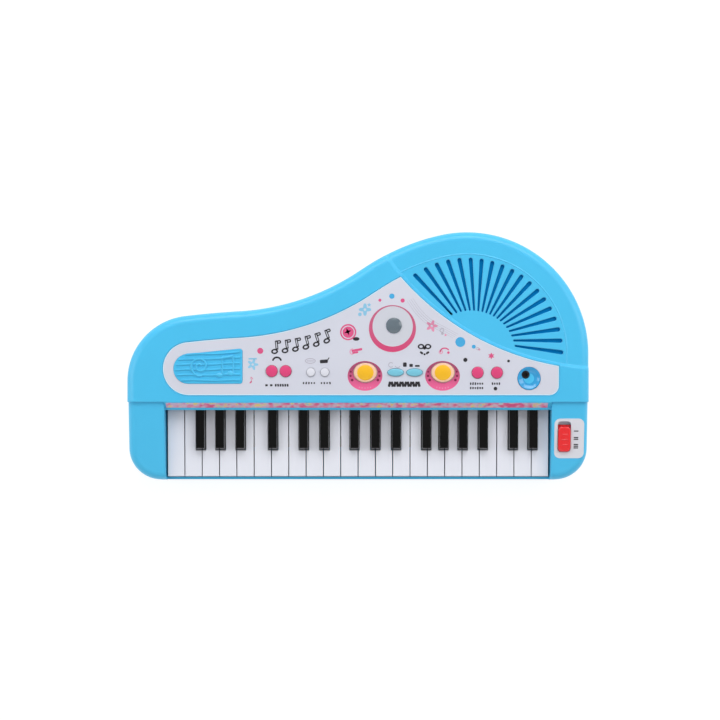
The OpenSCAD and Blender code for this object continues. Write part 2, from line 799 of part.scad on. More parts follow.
module batteries() {
    z = floor_z + cell_lift + cell_r;
    x0 = (bay_lo.x + bay_hi.x - cell_len) / 2;
    color(BATTERY) {
        for (k = [0:cell_count - 1]) {
            flip = k % 2;
            nub_x = flip == 1 ? x0 - 1 : x0 + cell_len - 0.1;
            translate([x0, cell_pitch * k, z]) rotate([0, 90, 0]) cylinder(r = cell_r, h = cell_len);
            translate([nub_x, cell_pitch * k, z]) rotate([0, 90, 0]) cylinder(r = 2.7, h = 1.1);
        }
    }
}

bottom_shell();
top_shell();
control_panel();
contact_strips();
circuit_boards();
speaker();
screws();
feet();
batteries();
mic_jack();
light_lens();
battery_door();
power_knob();
button(BUTTONS[0], button_rise, PINK);  // pink_button_1
button(BUTTONS[1], button_rise, PINK);  // pink_button_2
button(BUTTONS[2], button_rise, PINK);  // pink_button_3
button(BUTTONS[3], button_rise, PINK);  // pink_button_4
button(BUTTONS[4], button_rise, PANEL_WHITE);  // white_button_1
button(BUTTONS[5], button_rise, PANEL_WHITE);  // white_button_2
button(BUTTONS[6], button_rise, PALE_BLUE);  // oval_button_1
button(BUTTONS[7], button_rise, PALE_BLUE);  // oval_button_2
drum_pad(1);  // drum_pad_1
drum_pad(2);  // drum_pad_2
for (i = [1:WHITE_COUNT]) {
    white_key(i);
}
for (i = [1:len(BLACKS)]) {
    black_key(i);
}
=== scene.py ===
"""Looks of the toy electronic keyboard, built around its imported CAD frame.

Shapes are drawn in millimetres in the part's own frame and turned into metres by make_mesh().
"""

import math
import random

import bmesh
import bpy
import numpy as np
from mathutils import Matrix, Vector
from mathutils.geometry import delaunay_2d_cdt


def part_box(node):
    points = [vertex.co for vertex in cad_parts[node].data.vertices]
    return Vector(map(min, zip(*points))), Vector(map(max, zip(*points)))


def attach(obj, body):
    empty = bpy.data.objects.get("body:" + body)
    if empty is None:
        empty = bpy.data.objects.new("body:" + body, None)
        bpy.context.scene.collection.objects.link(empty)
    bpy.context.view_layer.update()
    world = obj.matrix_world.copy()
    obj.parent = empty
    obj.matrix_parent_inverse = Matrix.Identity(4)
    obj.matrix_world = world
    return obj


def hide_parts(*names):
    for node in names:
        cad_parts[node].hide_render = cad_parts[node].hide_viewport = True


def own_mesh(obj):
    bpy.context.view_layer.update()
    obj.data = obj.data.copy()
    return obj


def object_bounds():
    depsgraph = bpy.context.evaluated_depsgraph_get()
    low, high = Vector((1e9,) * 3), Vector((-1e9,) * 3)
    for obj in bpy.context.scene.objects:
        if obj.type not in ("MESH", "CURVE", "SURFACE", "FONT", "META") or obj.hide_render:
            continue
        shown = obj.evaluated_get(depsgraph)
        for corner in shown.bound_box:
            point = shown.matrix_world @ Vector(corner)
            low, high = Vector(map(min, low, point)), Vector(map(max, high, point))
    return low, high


MM = 0.001
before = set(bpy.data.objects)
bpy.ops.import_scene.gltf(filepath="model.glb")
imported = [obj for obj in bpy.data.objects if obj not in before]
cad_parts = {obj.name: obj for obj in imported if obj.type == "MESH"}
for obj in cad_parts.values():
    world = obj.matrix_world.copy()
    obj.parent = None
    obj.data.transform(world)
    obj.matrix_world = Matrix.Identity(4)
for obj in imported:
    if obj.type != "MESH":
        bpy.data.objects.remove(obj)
CAD_BOX = [list(corner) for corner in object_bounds()]
CASING = "casing"


def corners(node):
    """The lowest and highest corners of a CAD node, in millimetres."""
    return [[v / MM for v in corner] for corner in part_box(node)]


# ---- sizes in millimetres; the first four come from the frame

HALF_W = CAD_BOX[1][0] / MM
HALF_D = -CAD_BOX[0][1] / MM
DECK_Z = corners("control_panel")[1][2]
SEAM_Z = corners("top_shell")[0][2]

# Casing: thicknesses, rounded edge, key well, and distances of fine lines from an edge
WALL = 2.2
DECK_T = 2.5
PANEL_T = 1.2
FAN_DROP = 2.0
EDGE_R = 7.0
LAP = 0.5
WELL_X = 167.6
DECK_FRONT = -39.5
FASCIA_Y = -46.4
MAIN_BOARD_Z = 38.0
EDGE_FINE = (0.08, 0.25, 0.55, 1.0)

# Outline arcs, anticlockwise from the right side: radii, and angles where one arc meets the next
REAR_R, SHOULDER_R, WAIST_R, BACK_R, LEFT_R, FRONT_R = 105.5, 194.0, 209.0, 783.0, 56.5, 28.0
SHOULDER_A, SLOPE_A, WAIST_A, BACK_A = 102.5, 123.0, 93.3, 96.75

# Cheeks beside the keys
CHEEK_Z = 45.5
CHEEK_SLOPE = 8.0
CHEEK_T = 2.4
CHEEK_INSET = 0.6
CHEEK_REAR = DECK_FRONT + 2.5
WELL_EDGE_R = 1.2

# Loudspeaker grille
FAN_C, FAN_R = np.array((213.5, 222.5)), 232.5
SLOTS = 19
SLOT_HUB, SLOT_ANGLES = np.array((102.2, 13.9)), (133.2, -8.0)
SLOT_INNER_C, SLOT_INNER_R = np.array((98.0, 1.5)), 39.0
SLOT_MARGIN = 24.3
SLOT_HALF_W = (0.85, 1.8)
FIELD_INSET = 19.4
FIELD_RIDGE = 0.45
STEP_HALF = 1.7
RIDGE_HALF = 0.9
BEAD_AT, BEAD_RISE = 0.85, 0.3
FRONT_EDGE_R = 1.0
RIM_DROP = 0.3

# Control panel and what stands on it
PANEL_C, PANEL_R = np.array((-145.5, -10.5)), 23.0
PANEL_RIGHT, PANEL_CORNER = 173.5, 8.5
EMBLEM_C, EMBLEM_R = np.array((-146.5, -10.6)), 12.9
EMBLEM_RIGHT, EMBLEM_TOP = -99.7, 7.0
LENS_AT, LENS_R = (31.0, 26.8), 6.75
DISH_AT, DISH_R = (147.6, -18.9), 10.0
JACK_AT, JACK_R = (144.7, -15.6), 3.4
BORE_R, BORE_DEPTH = 1.8, 13.0
PRINT_Z = DECK_Z + 0.05
SPEAKER_TOP = corners("speaker")[1][2]
# Height of the sheet under the grille slots. Its dark blue is painted shade for the hollow seen through the
# slots.
SHADE_SHEET_Z = (SPEAKER_TOP + 0.03, SPEAKER_TOP + 0.15)

# Buttons: gap in the panel, hidden flange and stem, half sizes of the drum pads' domes
PLAY = 0.3
FLANGE, FLANGE_Z = 0.7, (2.2, 3.7)
STEM_R = 1.5
PAD_DOME = (7.2, 6.8)
WHITE_KEYS, BLACK_KEYS = 22, 15

# Silicone domes: the height of the keys' plunger tips, the sheet's thickness, and the gap between a dome's
# top and what presses it
PLUNGER_Z = 17.3
SHEET_T = 0.8
DOME_GAP = 0.3

# Cells, their contact springs and the wires
CELL_PITCH = 15.0
COIL_R, COIL_TURNS, COIL_LENGTH = 4.2, 3, 2.4
WIRE_R = 0.7


# ---- materials

def set_inputs(node, values):
    for socket, value in values.items():
        node.inputs[socket].default_value = value


def new_material(name, values):
    """A material with constants on its shader; returns it with its nodes, links and shader."""
    material = bpy.data.materials.new(name)
    material.use_nodes = True
    nodes = material.node_tree.nodes
    set_inputs(nodes["Principled BSDF"], values)
    return material, nodes, material.node_tree.links, nodes["Principled BSDF"]


def link_noise(nodes, links, scale, detail=3.0):
    """A noise texture in object space; scale is in features per metre."""
    coords = nodes.new("ShaderNodeTexCoord")
    noise = nodes.new("ShaderNodeTexNoise")
    set_inputs(noise, {"Scale": scale, "Detail": detail})
    links.new(coords.outputs["Object"], noise.inputs["Vector"])
    return noise


def ramp_from(nodes, links, source, low, high, span=(0.3, 0.7)):
    """A colour ramp between two colours, driven by source."""
    ramp = nodes.new("ShaderNodeValToRGB")
    for element, position, colour in zip(ramp.color_ramp.elements, span, (low, high)):
        element.position = position
        element.color = (*colour, 1)
    links.new(source, ramp.inputs["Fac"])
    return ramp


def shade(colour, factor):
    return tuple(min(1.0, c * factor) for c in colour)


def plastic(name, colour, rough=0.3, vary=0.04, grain=1800, bump=0.02, coat=0.0, metal=0.0, sss=0.0,
            shine=0.5):
    """Moulded plastic: faint colour drift, fine moulded grain and uneven gloss."""
    material, nodes, links, shader = new_material(name, {
        "Metallic": metal, "Specular IOR Level": shine, "Coat Weight": coat, "Coat Roughness": 0.08,
        "Subsurface Weight": sss, "Subsurface Scale": 0.002})
    drift = link_noise(nodes, links, 22)
    tint = ramp_from(nodes, links, drift.outputs["Fac"], shade(colour, 1 - vary), shade(colour, 1 + vary))
    links.new(tint.outputs["Color"], shader.inputs["Base Color"])
    smudge = link_noise(nodes, links, 90, 5)
    gloss = nodes.new("ShaderNodeMapRange")
    set_inputs(gloss, {"To Min": rough * 0.85, "To Max": rough * 1.2})
    links.new(smudge.outputs["Fac"], gloss.inputs["Value"])
    links.new(gloss.outputs["Result"], shader.inputs["Roughness"])
    grains = link_noise(nodes, links, grain, 2)
    relief = nodes.new("ShaderNodeBump")
    set_inputs(relief, {"Strength": bump, "Distance": 0.0004})
    links.new(grains.outputs["Fac"], relief.inputs["Height"])
    links.new(relief.outputs["Normal"], shader.inputs["Normal"])
    return material


def blurred_flowers(name):
    """The sticker on the front edge: soft pink, yellow and pale blue blots on lilac."""
    material, nodes, links, shader = new_material(name, {"Roughness": 0.35})
    coords = nodes.new("ShaderNodeTexCoord")
    cells = nodes.new("ShaderNodeTexVoronoi")
    set_inputs(cells, {"Scale": 300})
    cells.feature = "SMOOTH_F1"
    links.new(coords.outputs["Object"], cells.inputs["Vector"])
    hues = nodes.new("ShaderNodeSeparateColor")
    links.new(cells.outputs["Color"], hues.inputs["Color"])
    ramp = nodes.new("ShaderNodeValToRGB")
    ramp.color_ramp.interpolation = "EASE"
    stops = [(0.0, (0.78, 0.09, 0.26)), (0.3, (0.80, 0.26, 0.42)), (0.48, (0.66, 0.46, 0.62)),
             (0.64, (0.74, 0.50, 0.60)), (0.76, (0.86, 0.62, 0.20)), (0.92, (0.40, 0.60, 0.72))]
    elements = ramp.color_ramp.elements
    elements[0].position, elements[0].color = stops[0][0], (*stops[0][1], 1)
    elements[1].position, elements[1].color = stops[-1][0], (*stops[-1][1], 1)
    for position, colour in stops[1:-1]:
        elements.new(position).color = (*colour, 1)
    links.new(hues.outputs["Red"], ramp.inputs["Fac"])
    links.new(ramp.outputs["Color"], shader.inputs["Base Color"])
    return material


def graded(name, low_colour, high_colour, y_low, y_high):
    """Print whose colour changes from front to rear between two Y places."""
    material, nodes, links, shader = new_material(name, {"Roughness": 0.32})
    coords = nodes.new("ShaderNodeTexCoord")
    axes = nodes.new("ShaderNodeSeparateXYZ")
    links.new(coords.outputs["Object"], axes.inputs["Vector"])
    level = nodes.new("ShaderNodeMapRange")
    set_inputs(level, {"From Min": y_low * MM, "From Max": y_high * MM})
    links.new(axes.outputs["Y"], level.inputs["Value"])
    ramp = ramp_from(nodes, links, level.outputs["Result"], low_colour, high_colour, (0.0, 1.0))
    links.new(ramp.outputs["Color"], shader.inputs["Base Color"])
    return material


def lens_material():
    """Smoked translucent plastic over a lamp."""
    material = plastic("smoked_lens", (0.16, 0.21, 0.25), rough=0.12, vary=0.06, bump=0.004, coat=0.6)
    set_inputs(material.node_tree.nodes["Principled BSDF"], {"Transmission Weight": 0.25, "IOR": 1.46})
    return material


BLUE = plastic("shell_blue", (0.062, 0.485, 0.79), rough=0.3, vary=0.015, bump=0.01, shine=0.4)
# Darker blue for the sheet under the grille slots: painted shade standing in for the hollow behind them.
SLOT_SHADE_BLUE = plastic("slot_painted_shade", (0.0, 0.19, 0.46), rough=0.7, vary=0.05, shine=0.05)
DISH_BLUE = plastic("dish_blue", (0.026, 0.33, 0.66), rough=0.12, vary=0.03, coat=0.5)
PANEL = plastic("panel_print", (0.60, 0.615, 0.70), rough=0.38, vary=0.015, grain=2600, bump=0.02)
KEY_WHITE = plastic("key_white", (0.77, 0.785, 0.86), rough=0.24, vary=0.012, bump=0.01, coat=0.1)
KEY_BLACK = plastic("key_black", (0.004, 0.004, 0.004), rough=0.2, vary=0.2, bump=0.01, shine=0.16)
PINK = plastic("button_pink", (0.68, 0.05, 0.18), rough=0.25, vary=0.03, coat=0.2)
BUTTON_WHITE = plastic("button_white", (0.68, 0.69, 0.76), rough=0.2, vary=0.02, coat=0.3)
PALE_BLUE = plastic("button_pale_blue", (0.17, 0.52, 0.67), rough=0.22, vary=0.03, coat=0.3)
YELLOW = plastic("pad_yellow", (0.87, 0.47, 0.006), rough=0.3, vary=0.03, coat=0.2)
CREAM = plastic("pad_cream", (0.86, 0.55, 0.38), rough=0.3, vary=0.02)
RED = plastic("knob_red", (0.80, 0.012, 0.016), rough=0.2, vary=0.04, coat=0.4)
LENS = lens_material()
BLACK = plastic("black_plastic", (0.008, 0.008, 0.009), rough=0.25, vary=0.2)
RUBBER = plastic("foot_rubber", (0.02, 0.02, 0.022), rough=0.8, vary=0.15, grain=900, bump=0.2)
LABEL = plastic("label_white", (0.66, 0.67, 0.73), rough=0.4, vary=0.01)
SILICONE = plastic("silicone", (0.42, 0.44, 0.46), rough=0.55, vary=0.05, sss=0.2)
STEEL = plastic("zinc_steel", (0.62, 0.63, 0.66), rough=0.32, vary=0.08, metal=1.0, bump=0.03)
BRASS = plastic("contact_metal", (0.72, 0.60, 0.35), rough=0.3, vary=0.05, metal=1.0)
BOARD = plastic("board_green", (0.01, 0.12, 0.045), rough=0.35, vary=0.15, grain=500, bump=0.05)
PAPER = plastic("speaker_paper", (0.03, 0.03, 0.032), rough=0.85, vary=0.2, grain=700, bump=0.3)
CELL = plastic("cell_sleeve", (0.02, 0.20, 0.08), rough=0.3, vary=0.05, coat=0.3)
WIRE_RED = plastic("wire_red", (0.6, 0.02, 0.02), rough=0.45)
WIRE_BLACK = plastic("wire_black", (0.012, 0.012, 0.012), rough=0.45)
STRIP = blurred_flowers("flower_strip")
RING_PINK = graded("ring_pink", (0.62, 0.055, 0.17), (0.50, 0.12, 0.22), 4, 42)
PAD_PINK = graded("pad_pink", (0.80, 0.12, 0.30), (0.36, 0.06, 0.14), -27, -10)
INK = {name: plastic("ink_" + name, colour, rough=0.36, vary=vary) for name, colour, vary in (
    ("pink", (0.66, 0.08, 0.22), 0.05),
    ("light_pink", (0.75, 0.26, 0.42), 0.08),
    ("blue", (0.05, 0.36, 0.66), 0.05),
    ("light_blue", (0.24, 0.52, 0.72), 0.08),
    ("black", (0.018, 0.016, 0.022), 0.2),
    ("disc", (0.57, 0.585, 0.65), 0.01),
    ("grey", (0.42, 0.40, 0.48), 0.1),
    ("dark_red", (0.18, 0.008, 0.05), 0.1))}
# Pale cyan line round the panel's edge: a painted highlight where the rounded rim of the panel's recess
# catches light.
PAINTED_EDGE_HIGHLIGHT = plastic("painted_edge_highlight", (0.62, 0.84, 0.94), rough=0.3, vary=0.02)


# ---- mesh tools

def make_mesh(name, parts, material, body, replaces=(), sharp=35.0):
    """One object from parts, each (vertices in mm, faces), riding on a CAD body."""
    verts, faces = [], []
    for part_verts, part_faces in parts:
        base = len(verts)
        verts += [(x * MM, y * MM, z * MM) for x, y, z in part_verts]
        faces += [[base + i for i in face] for face in part_faces]
    mesh = bpy.data.meshes.new(name)
    mesh.from_pydata(verts, [], faces)
    return add_piece(name, mesh, material, body, replaces, sharp)


def add_piece(name, mesh, material, body, replaces=(), sharp=35.0):
    """Puts a finished mesh in the scene with outward normals, smooth except at sharp edges."""
    work = bmesh.new()
    work.from_mesh(mesh)
    bmesh.ops.recalc_face_normals(work, faces=work.faces)
    work.to_mesh(mesh)
    work.free()
    mesh.materials.clear()
    mesh.materials.append(material)
    mesh.polygons.foreach_set("use_smooth", [True] * len(mesh.polygons))
    mesh.set_sharp_from_angle(angle=math.radians(sharp))
    piece = bpy.data.objects.new(name, mesh)
    bpy.context.scene.collection.objects.link(piece)
    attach(piece, body)
    if replaces:
        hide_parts(*replaces)
    shading = piece.modifiers.new("shading", "WEIGHTED_NORMAL")
    shading.keep_sharp = True
    return piece


def refined(node, name, material, body, bevel=0.0, segments=2, where=None):
    """A copy of a CAD node's mesh, welded and with its long sharp edges rounded."""
    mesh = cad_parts[node].data.copy()
    mesh.name = name
    if mesh.has_custom_normals:
        mesh.attributes.remove(mesh.attributes["custom_normal"])
    work = bmesh.new()
    work.from_mesh(mesh)
    bmesh.ops.remove_doubles(work, verts=work.verts, dist=2e-6)
    bmesh.ops.dissolve_limit(work, angle_limit=math.radians(0.6), verts=work.verts, edges=work.edges)
    if bevel:
        edges = [e for e in work.edges if e.is_manifold
                 and e.calc_face_angle(0) > math.radians(28) and (where is None or where(e))]
        bmesh.ops.bevel(work, geom=edges, offset=bevel * MM, offset_type="OFFSET", segments=segments,
                        profile=0.5, affect="EDGES", clamp_overlap=True)
    work.to_mesh(mesh)
    work.free()
    return add_piece(name, mesh, material, body, (node,))


def polar(angle):
    return np.array([math.cos(math.radians(angle)), math.sin(math.radians(angle))])


def arc_points(centre, r, a0, a1, count):
    return [np.asarray(centre) + r * polar(a) for a in np.linspace(a0, a1, count)]


def heights(level, points):
    """The heights of points from a number or from a function of the points."""
    return level(points) if callable(level) else np.full(len(points), float(level))


def sweep(stations, profile, drop):
    """A solid from a closed profile of (inset, height) carried along stations of (point, normal).

    drop(points) lowers every vertex by a share given in the profile's third value."""
    points = np.array([s[0] for s in stations])
    normals = np.array([s[1] for s in stations])
    columns = []
    for inset, height, share in profile:
        xy = points - inset * normals
        z = heights(height, xy)
        if share:
            z = z - share * drop(xy)
        columns.append(np.column_stack([xy, z]))
    count, width = len(points), len(profile)
    verts = [tuple(columns[j][i]) for i in range(count) for j in range(width)]
    faces = []
    for i in range(count - 1):
        for j in range(width):
            k = (j + 1) % width
            faces.append([i * width + j, i * width + k, (i + 1) * width + k, (i + 1) * width + j])
    faces.append(list(range(width)))
    faces.append([(count - 1) * width + j for j in reversed(range(width))])
    return verts, faces


def arc_stations(centre, radius, a0, a1, step=2.5):
    """Stations on an arc; a concave arc has a0 > a1 and normals towards its centre."""
    count = max(2, round(radius * math.radians(abs(a1 - a0)) / step))
    side = 1 if a1 > a0 else -1
    return [(np.array(centre) + radius * polar(a), side * polar(a))
            for a in np.linspace(a0, a1, count + 1)]


def line_stations(p, q, normal, step=2.5, fine_start=(), fine_end=()):
    """Stations on a straight run, with extra ones at given distances from its ends."""
    p, q = np.array(p, float), np.array(q, float)
    length = np.linalg.norm(q - p)
    places = set(np.round(np.linspace(0, length, max(2, round(length / step)) + 1), 3))
    places |= set(fine_start) | {round(length - d, 3) for d in fine_end}
    return [(p + (q - p) * t / length, np.array(normal, float)) for t in sorted(places)]


def without_repeats(stations):
    kept = [stations[0]]
    for s in stations[1:]:
        if np.linalg.norm(s[0] - kept[-1][0]) > 0.02:
            kept.append(s)
    return kept


def fan_depth(points):
    """How far points lie inside the grille's disc."""
    return FAN_R - np.linalg.norm(np.asarray(points) - FAN_C, axis=1)


def refine_at_fan(stations):
    """More stations where the step of the grille crosses the outline."""
    reach, step = 2.6, 0.35
    dense = [stations[0]]
    for s0, s1 in zip(stations, stations[1:]):
        middle = (s0[0] + s1[0]) / 2
        length = np.linalg.norm(s1[0] - s0[0])
        if abs(fan_depth([middle])[0]) < reach + length / 2:
            count = max(1, math.ceil(length / step))
            dense += [((s0[0] * (count - k) + s1[0] * k) / count,
                       (s0[1] * (count - k) + s1[1] * k) / count) for k in range(1, count)]
        dense.append(s1)
    return dense


# Centres of the outline's arcs, as in the CAD
rear_c = np.array([HALF_W - REAR_R, HALF_D - REAR_R])
shoulder_c = rear_c - (SHOULDER_R - REAR_R) * polar(SHOULDER_A)
slope_end = shoulder_c + SHOULDER_R * polar(SLOPE_A)
left_free = (slope_end + WAIST_R * polar(SLOPE_A) + (WAIST_R + BACK_R) * polar(WAIST_A + 180)
             + (BACK_R - LEFT_R) * polar(BACK_A))
slope_len = (left_free[0] - LEFT_R + HALF_W) / -polar(SLOPE_A + 90)[0]
waist_c = slope_end + slope_len * polar(SLOPE_A + 90) + WAIST_R * polar(SLOPE_A)
back_c = waist_c + (WAIST_R + BACK_R) * polar(WAIST_A + 180)
left_c = back_c + (BACK_R - LEFT_R) * polar(BACK_A)
front_c = np.array([HALF_W - FRONT_R, FRONT_R - HALF_D])


def deck_stations():
    """The outline behind the deck's front edge, from its right end to its left end."""
    return refine_at_fan(without_repeats(
        line_stations((HALF_W, DECK_FRONT), (HALF_W, rear_c[1]), (1, 0), fine_start=EDGE_FINE)
        + arc_stations(rear_c, REAR_R, 0, SHOULDER_A)
        + arc_stations(shoulder_c, SHOULDER_R, SHOULDER_A, SLOPE_A)
        + arc_stations(waist_c, WAIST_R, SLOPE_A + 180, WAIST_A + 180)
        + arc_stations(back_c, BACK_R, WAIST_A, BACK_A)
        + arc_stations(left_c, LEFT_R, BACK_A, 180)
        + line_stations((-HALF_W, left_c[1]), (-HALF_W, DECK_FRONT), (-1, 0), fine_end=EDGE_FINE)))


def cheek_stations(side):
    """The outline of one cheek, from the key well round the front corner to under the deck."""
    stations = without_repeats(
        line_stations((WELL_X, -HALF_D), (front_c[0], -HALF_D), (0, -1), 1.0, EDGE_FINE)
        + arc_stations(front_c, FRONT_R, 270, 360, 1.5)
        + line_stations((HALF_W, front_c[1]), (HALF_W, CHEEK_REAR), (1, 0)))
    return [((p - CHEEK_INSET * n) * (side, 1), n * (side, 1)) for p, n in stations]


DECK_STATIONS = deck_stations()
DECK_LINE = np.array([s[0] for s in DECK_STATIONS])


def inset_line(inset, stations=None):
    return np.array([p - inset * n for p, n in (stations or DECK_STATIONS)])


def distance_to(points, loop, closed=True):
    """Distance from each point to a polyline."""
    a = np.asarray(loop, float)
    b = np.roll(a, -1, axis=0) if closed else a[1:]
    a = a if closed else a[:-1]
    out = np.full(len(points), np.inf)
    for start in range(0, len(points), 2000):
        p = np.asarray(points[start:start + 2000], float)[:, None, :]
        ab = (b - a)[None]
        t = np.clip(((p - a) * ab).sum(2) / np.maximum((ab ** 2).sum(2), 1e-12), 0, 1)
        out[start:start + 2000] = np.sqrt((((a + t[..., None] * ab) - p) ** 2).sum(2)).min(1)
    return out


def inside(points, loop):
    """Even-odd test of points against a closed loop."""
    p, a = np.asarray(points, float), np.asarray(loop, float)
    b = np.roll(a, -1, axis=0)
    found = np.zeros(len(p), bool)
    for (x0, y0), (x1, y1) in zip(a, b):
        if y0 == y1:
            continue
        crosses = (y0 > p[:, 1]) != (y1 > p[:, 1])
        found ^= crosses & (p[:, 0] < x0 + (p[:, 1] - y0) * (x1 - x0) / (y1 - y0))
    return found


def triangulated(loops, lines=()):
    """Triangles over the area inside the first loop and outside the other loops.

    lines are open polylines that the triangles follow. Returns the points and the triangles."""
    points, edges = [], []
    for loop in loops:
        base = len(points)
        points += [Vector((float(x), float(y))) for x, y in loop]
        edges += [(base + i, base + (i + 1) % len(loop)) for i in range(len(loop))]
    for line in lines:
        base = len(points)
        points += [Vector((float(x), float(y))) for x, y in line]
        edges += [(base + i, base + i + 1) for i in range(len(line) - 1)]
    flat, _, faces, *_ = delaunay_2d_cdt(points, edges, [], 0, 1e-5)
    flat = np.array([(v.x, v.y) for v in flat])
    faces = np.array(faces)
    middles = flat[faces].mean(1)
    keep = inside(middles, loops[0])
    for hole in loops[1:]:
        keep &= ~inside(middles, hole)
    return flat, faces[keep]


def raised(flat, faces, top, bottom):
    """A closed solid between two height functions over a triangulated area."""
    used = np.unique(faces)
    index = {old: new for new, old in enumerate(used)}
    flat = flat[used]
    faces = [[index[i] for i in f] for f in faces]
    count = len(flat)
    verts = [(x, y, z) for level in (top, bottom) for (x, y), z in zip(flat, heights(level, flat))]
    solid = [list(f) for f in faces] + [[i + count for i in reversed(f)] for f in faces]
    borders = {}
    for f in faces:
        for i in range(3):
            a, b = f[i], f[(i + 1) % 3]
            if (b, a) in borders:
                del borders[(b, a)]
            else:
                borders[(a, b)] = True
    solid += [[b, a, a + count, b + count] for a, b in borders]
    return verts, solid


def plate(loops, top, bottom, lines=()):
    return raised(*triangulated(loops, lines), top, bottom)


def ring_line(loop):
    """A loop as a polyline that ends where it starts."""
    return np.vstack([loop, loop[:1]])


def grown(loop, by):
    """A closed anticlockwise loop moved outwards along its vertex normals."""
    loop = np.asarray(loop, float)
    before, after = np.roll(loop, 1, axis=0), np.roll(loop, -1, axis=0)
    e0, e1 = loop - before, after - loop
    n0 = np.column_stack([e0[:, 1], -e0[:, 0]]) / np.linalg.norm(e0, axis=1)[:, None]
    n1 = np.column_stack([e1[:, 1], -e1[:, 0]]) / np.linalg.norm(e1, axis=1)[:, None]
    mid = n0 + n1
    mid /= np.maximum((mid ** 2).sum(1) / 2, 0.3)[:, None]
    return loop + by * mid


def soft_plate(loop, top, bottom, radius, holes=()):
    """A plate whose upper outer edge is rounded; holes are cut square."""
    rings = [grown(loop, -radius * (1 - math.cos(a))) for a in np.radians([30, 55, 75, 90])]

    def height(points):
        d = np.minimum(distance_to(points, loop), radius)
        return top - radius + np.sqrt(np.maximum(radius ** 2 - (radius - d) ** 2, 0))

    return plate([loop, *holes], height, bottom, [ring_line(ring) for ring in rings])


def circle_loop(centre, r, count=48, half_y=None):
    """A circle, or an ellipse when half_y is given."""
    angles = np.linspace(0, 2 * math.pi, count, endpoint=False)
    return np.column_stack([centre[0] + r * np.cos(angles),
                            centre[1] + (half_y or r) * np.sin(angles)])


def rounded_box(lo, hi, r, count=6):
    """An axis-aligned rectangle with round corners, anticlockwise."""
    points = []
    for cx, cy, start in ((hi[0] - r, hi[1] - r, 0), (lo[0] + r, hi[1] - r, 90),
                          (lo[0] + r, lo[1] + r, 180), (hi[0] - r, lo[1] + r, 270)):
        points += [np.array([cx, cy]) + r * polar(start + 90 * k / count) for k in range(count + 1)]
    return np.array(points)


def oval_stack(centre, rings, count=64):
    """A solid of revolution, or an oval one: rings are (half x, half y, height), closed at both ends."""
    angles = np.linspace(0, 2 * math.pi, count, endpoint=False)
    verts = [(centre[0] + a * math.cos(t), centre[1] + b * math.sin(t), z)
             for a, b, z in rings for t in angles]
    faces = [[j * count + i, j * count + (i + 1) % count, (j + 1) * count + (i + 1) % count,
              (j + 1) * count + i] for j in range(len(rings) - 1) for i in range(count)]
    faces.append(list(reversed(range(count))))
    faces.append([(len(rings) - 1) * count + i for i in range(count)])
    return verts, faces


def tube(path, radius, sides=10):
    """A round bar along 3D points, with closed ends."""
    path = [np.array(p, float) for p in path]
    verts, faces = [], []
    up = np.array([0.0, 0.0, 1.0])
    for i, p in enumerate(path):
        along = path[min(i + 1, len(path) - 1)] - path[max(i - 1, 0)]
        along /= np.linalg.norm(along)
        side = np.cross(along, up)
        if np.linalg.norm(side) < 0.05:
            side = np.cross(along, (1.0, 0.0, 0.0))
        side /= np.linalg.norm(side)
        lift = np.cross(side, along)
        for k in range(sides):
            a = 2 * math.pi * k / sides
            verts.append(tuple(p + radius * (math.cos(a) * side + math.sin(a) * lift)))
    for i in range(len(path) - 1):
        for k in range(sides):
            n = (k + 1) % sides
            faces.append([i * sides + k, i * sides + n, (i + 1) * sides + n, (i + 1) * sides + k])
    faces.append(list(range(sides)))
    faces.append([(len(path) - 1) * sides + k for k in reversed(range(sides))])
    return verts, faces


def smooth_path(points):
    """Points on a Catmull-Rom curve through the given ones."""
    per = 8
    pts = [np.array(p, float) for p in points]
    pts = [2 * pts[0] - pts[1], *pts, 2 * pts[-1] - pts[-2]]
    out = []
    for p0, p1, p2, p3 in zip(pts, pts[1:], pts[2:], pts[3:]):
        for k in range(per):
            t = k / per
            out.append(0.5 * (2 * p1 + (p2 - p0) * t + (2 * p0 - 5 * p1 + 4 * p2 - p3) * t * t
                              + (3 * p1 - p0 - 3 * p2 + p3) * t ** 3))
    return out + [pts[-2]]


def box_part(lo, hi):
    """A plain block, for hidden metalwork and ribs that are parts of larger pieces."""
    (x0, y0, z0), (x1, y1, z1) = lo, hi
    verts = [(x, y, z) for z in (z0, z1) for x, y in ((x0, y0), (x1, y0), (x1, y1), (x0, y1))]
    faces = [[3, 2, 1, 0], [4, 5, 6, 7]] + [[i, (i + 1) % 4, (i + 1) % 4 + 4, i + 4] for i in range(4)]
    return verts, faces


def extruded_x(loop_yz, x0, x1):
    """A profile in Y and Z run from x0 to x1."""
    n = len(loop_yz)
    verts = [(x, y, z) for x in (x0, x1) for y, z in loop_yz]
    faces = [[i, (i + 1) % n, (i + 1) % n + n, i + n] for i in range(n)]
    faces += [list(reversed(range(n))), [i + n for i in range(n)]]
    return verts, faces


def rounded_corners(points, radii):
    """A closed polygon with each corner rounded by its own radius."""
    count = 5
    points = [np.array(p, float) for p in points]
    out = []
    for i, (p, r) in enumerate(zip(points, radii)):
        before, after = points[i - 1], points[(i + 1) % len(points)]
        u = (before - p) / np.linalg.norm(before - p)
        v = (after - p) / np.linalg.norm(after - p)
        half = math.acos(max(-1.0, min(1.0, float(u @ v)))) / 2
        cut = r / math.tan(half)
        centre = p + (u + v) / np.linalg.norm(u + v) * r / math.sin(half)
        a, b = p + u * cut - centre, p + v * cut - centre
        for k in range(count + 1):
            t = k / count
            d = a * (1 - t) + b * t
            out.append(centre + d / np.linalg.norm(d) * r)
    return np.array(out)


def smoothstep(x):
    x = np.clip(x, 0, 1)
    return x * x * (3 - 2 * x)


def edge_drop(d, r):
    """Fall of a rounded edge of radius r at distance d from it."""
    d = np.clip(d, 0, r)
    return r - np.sqrt(np.maximum(r * r - (r - d) ** 2, 0))


# ---- casing

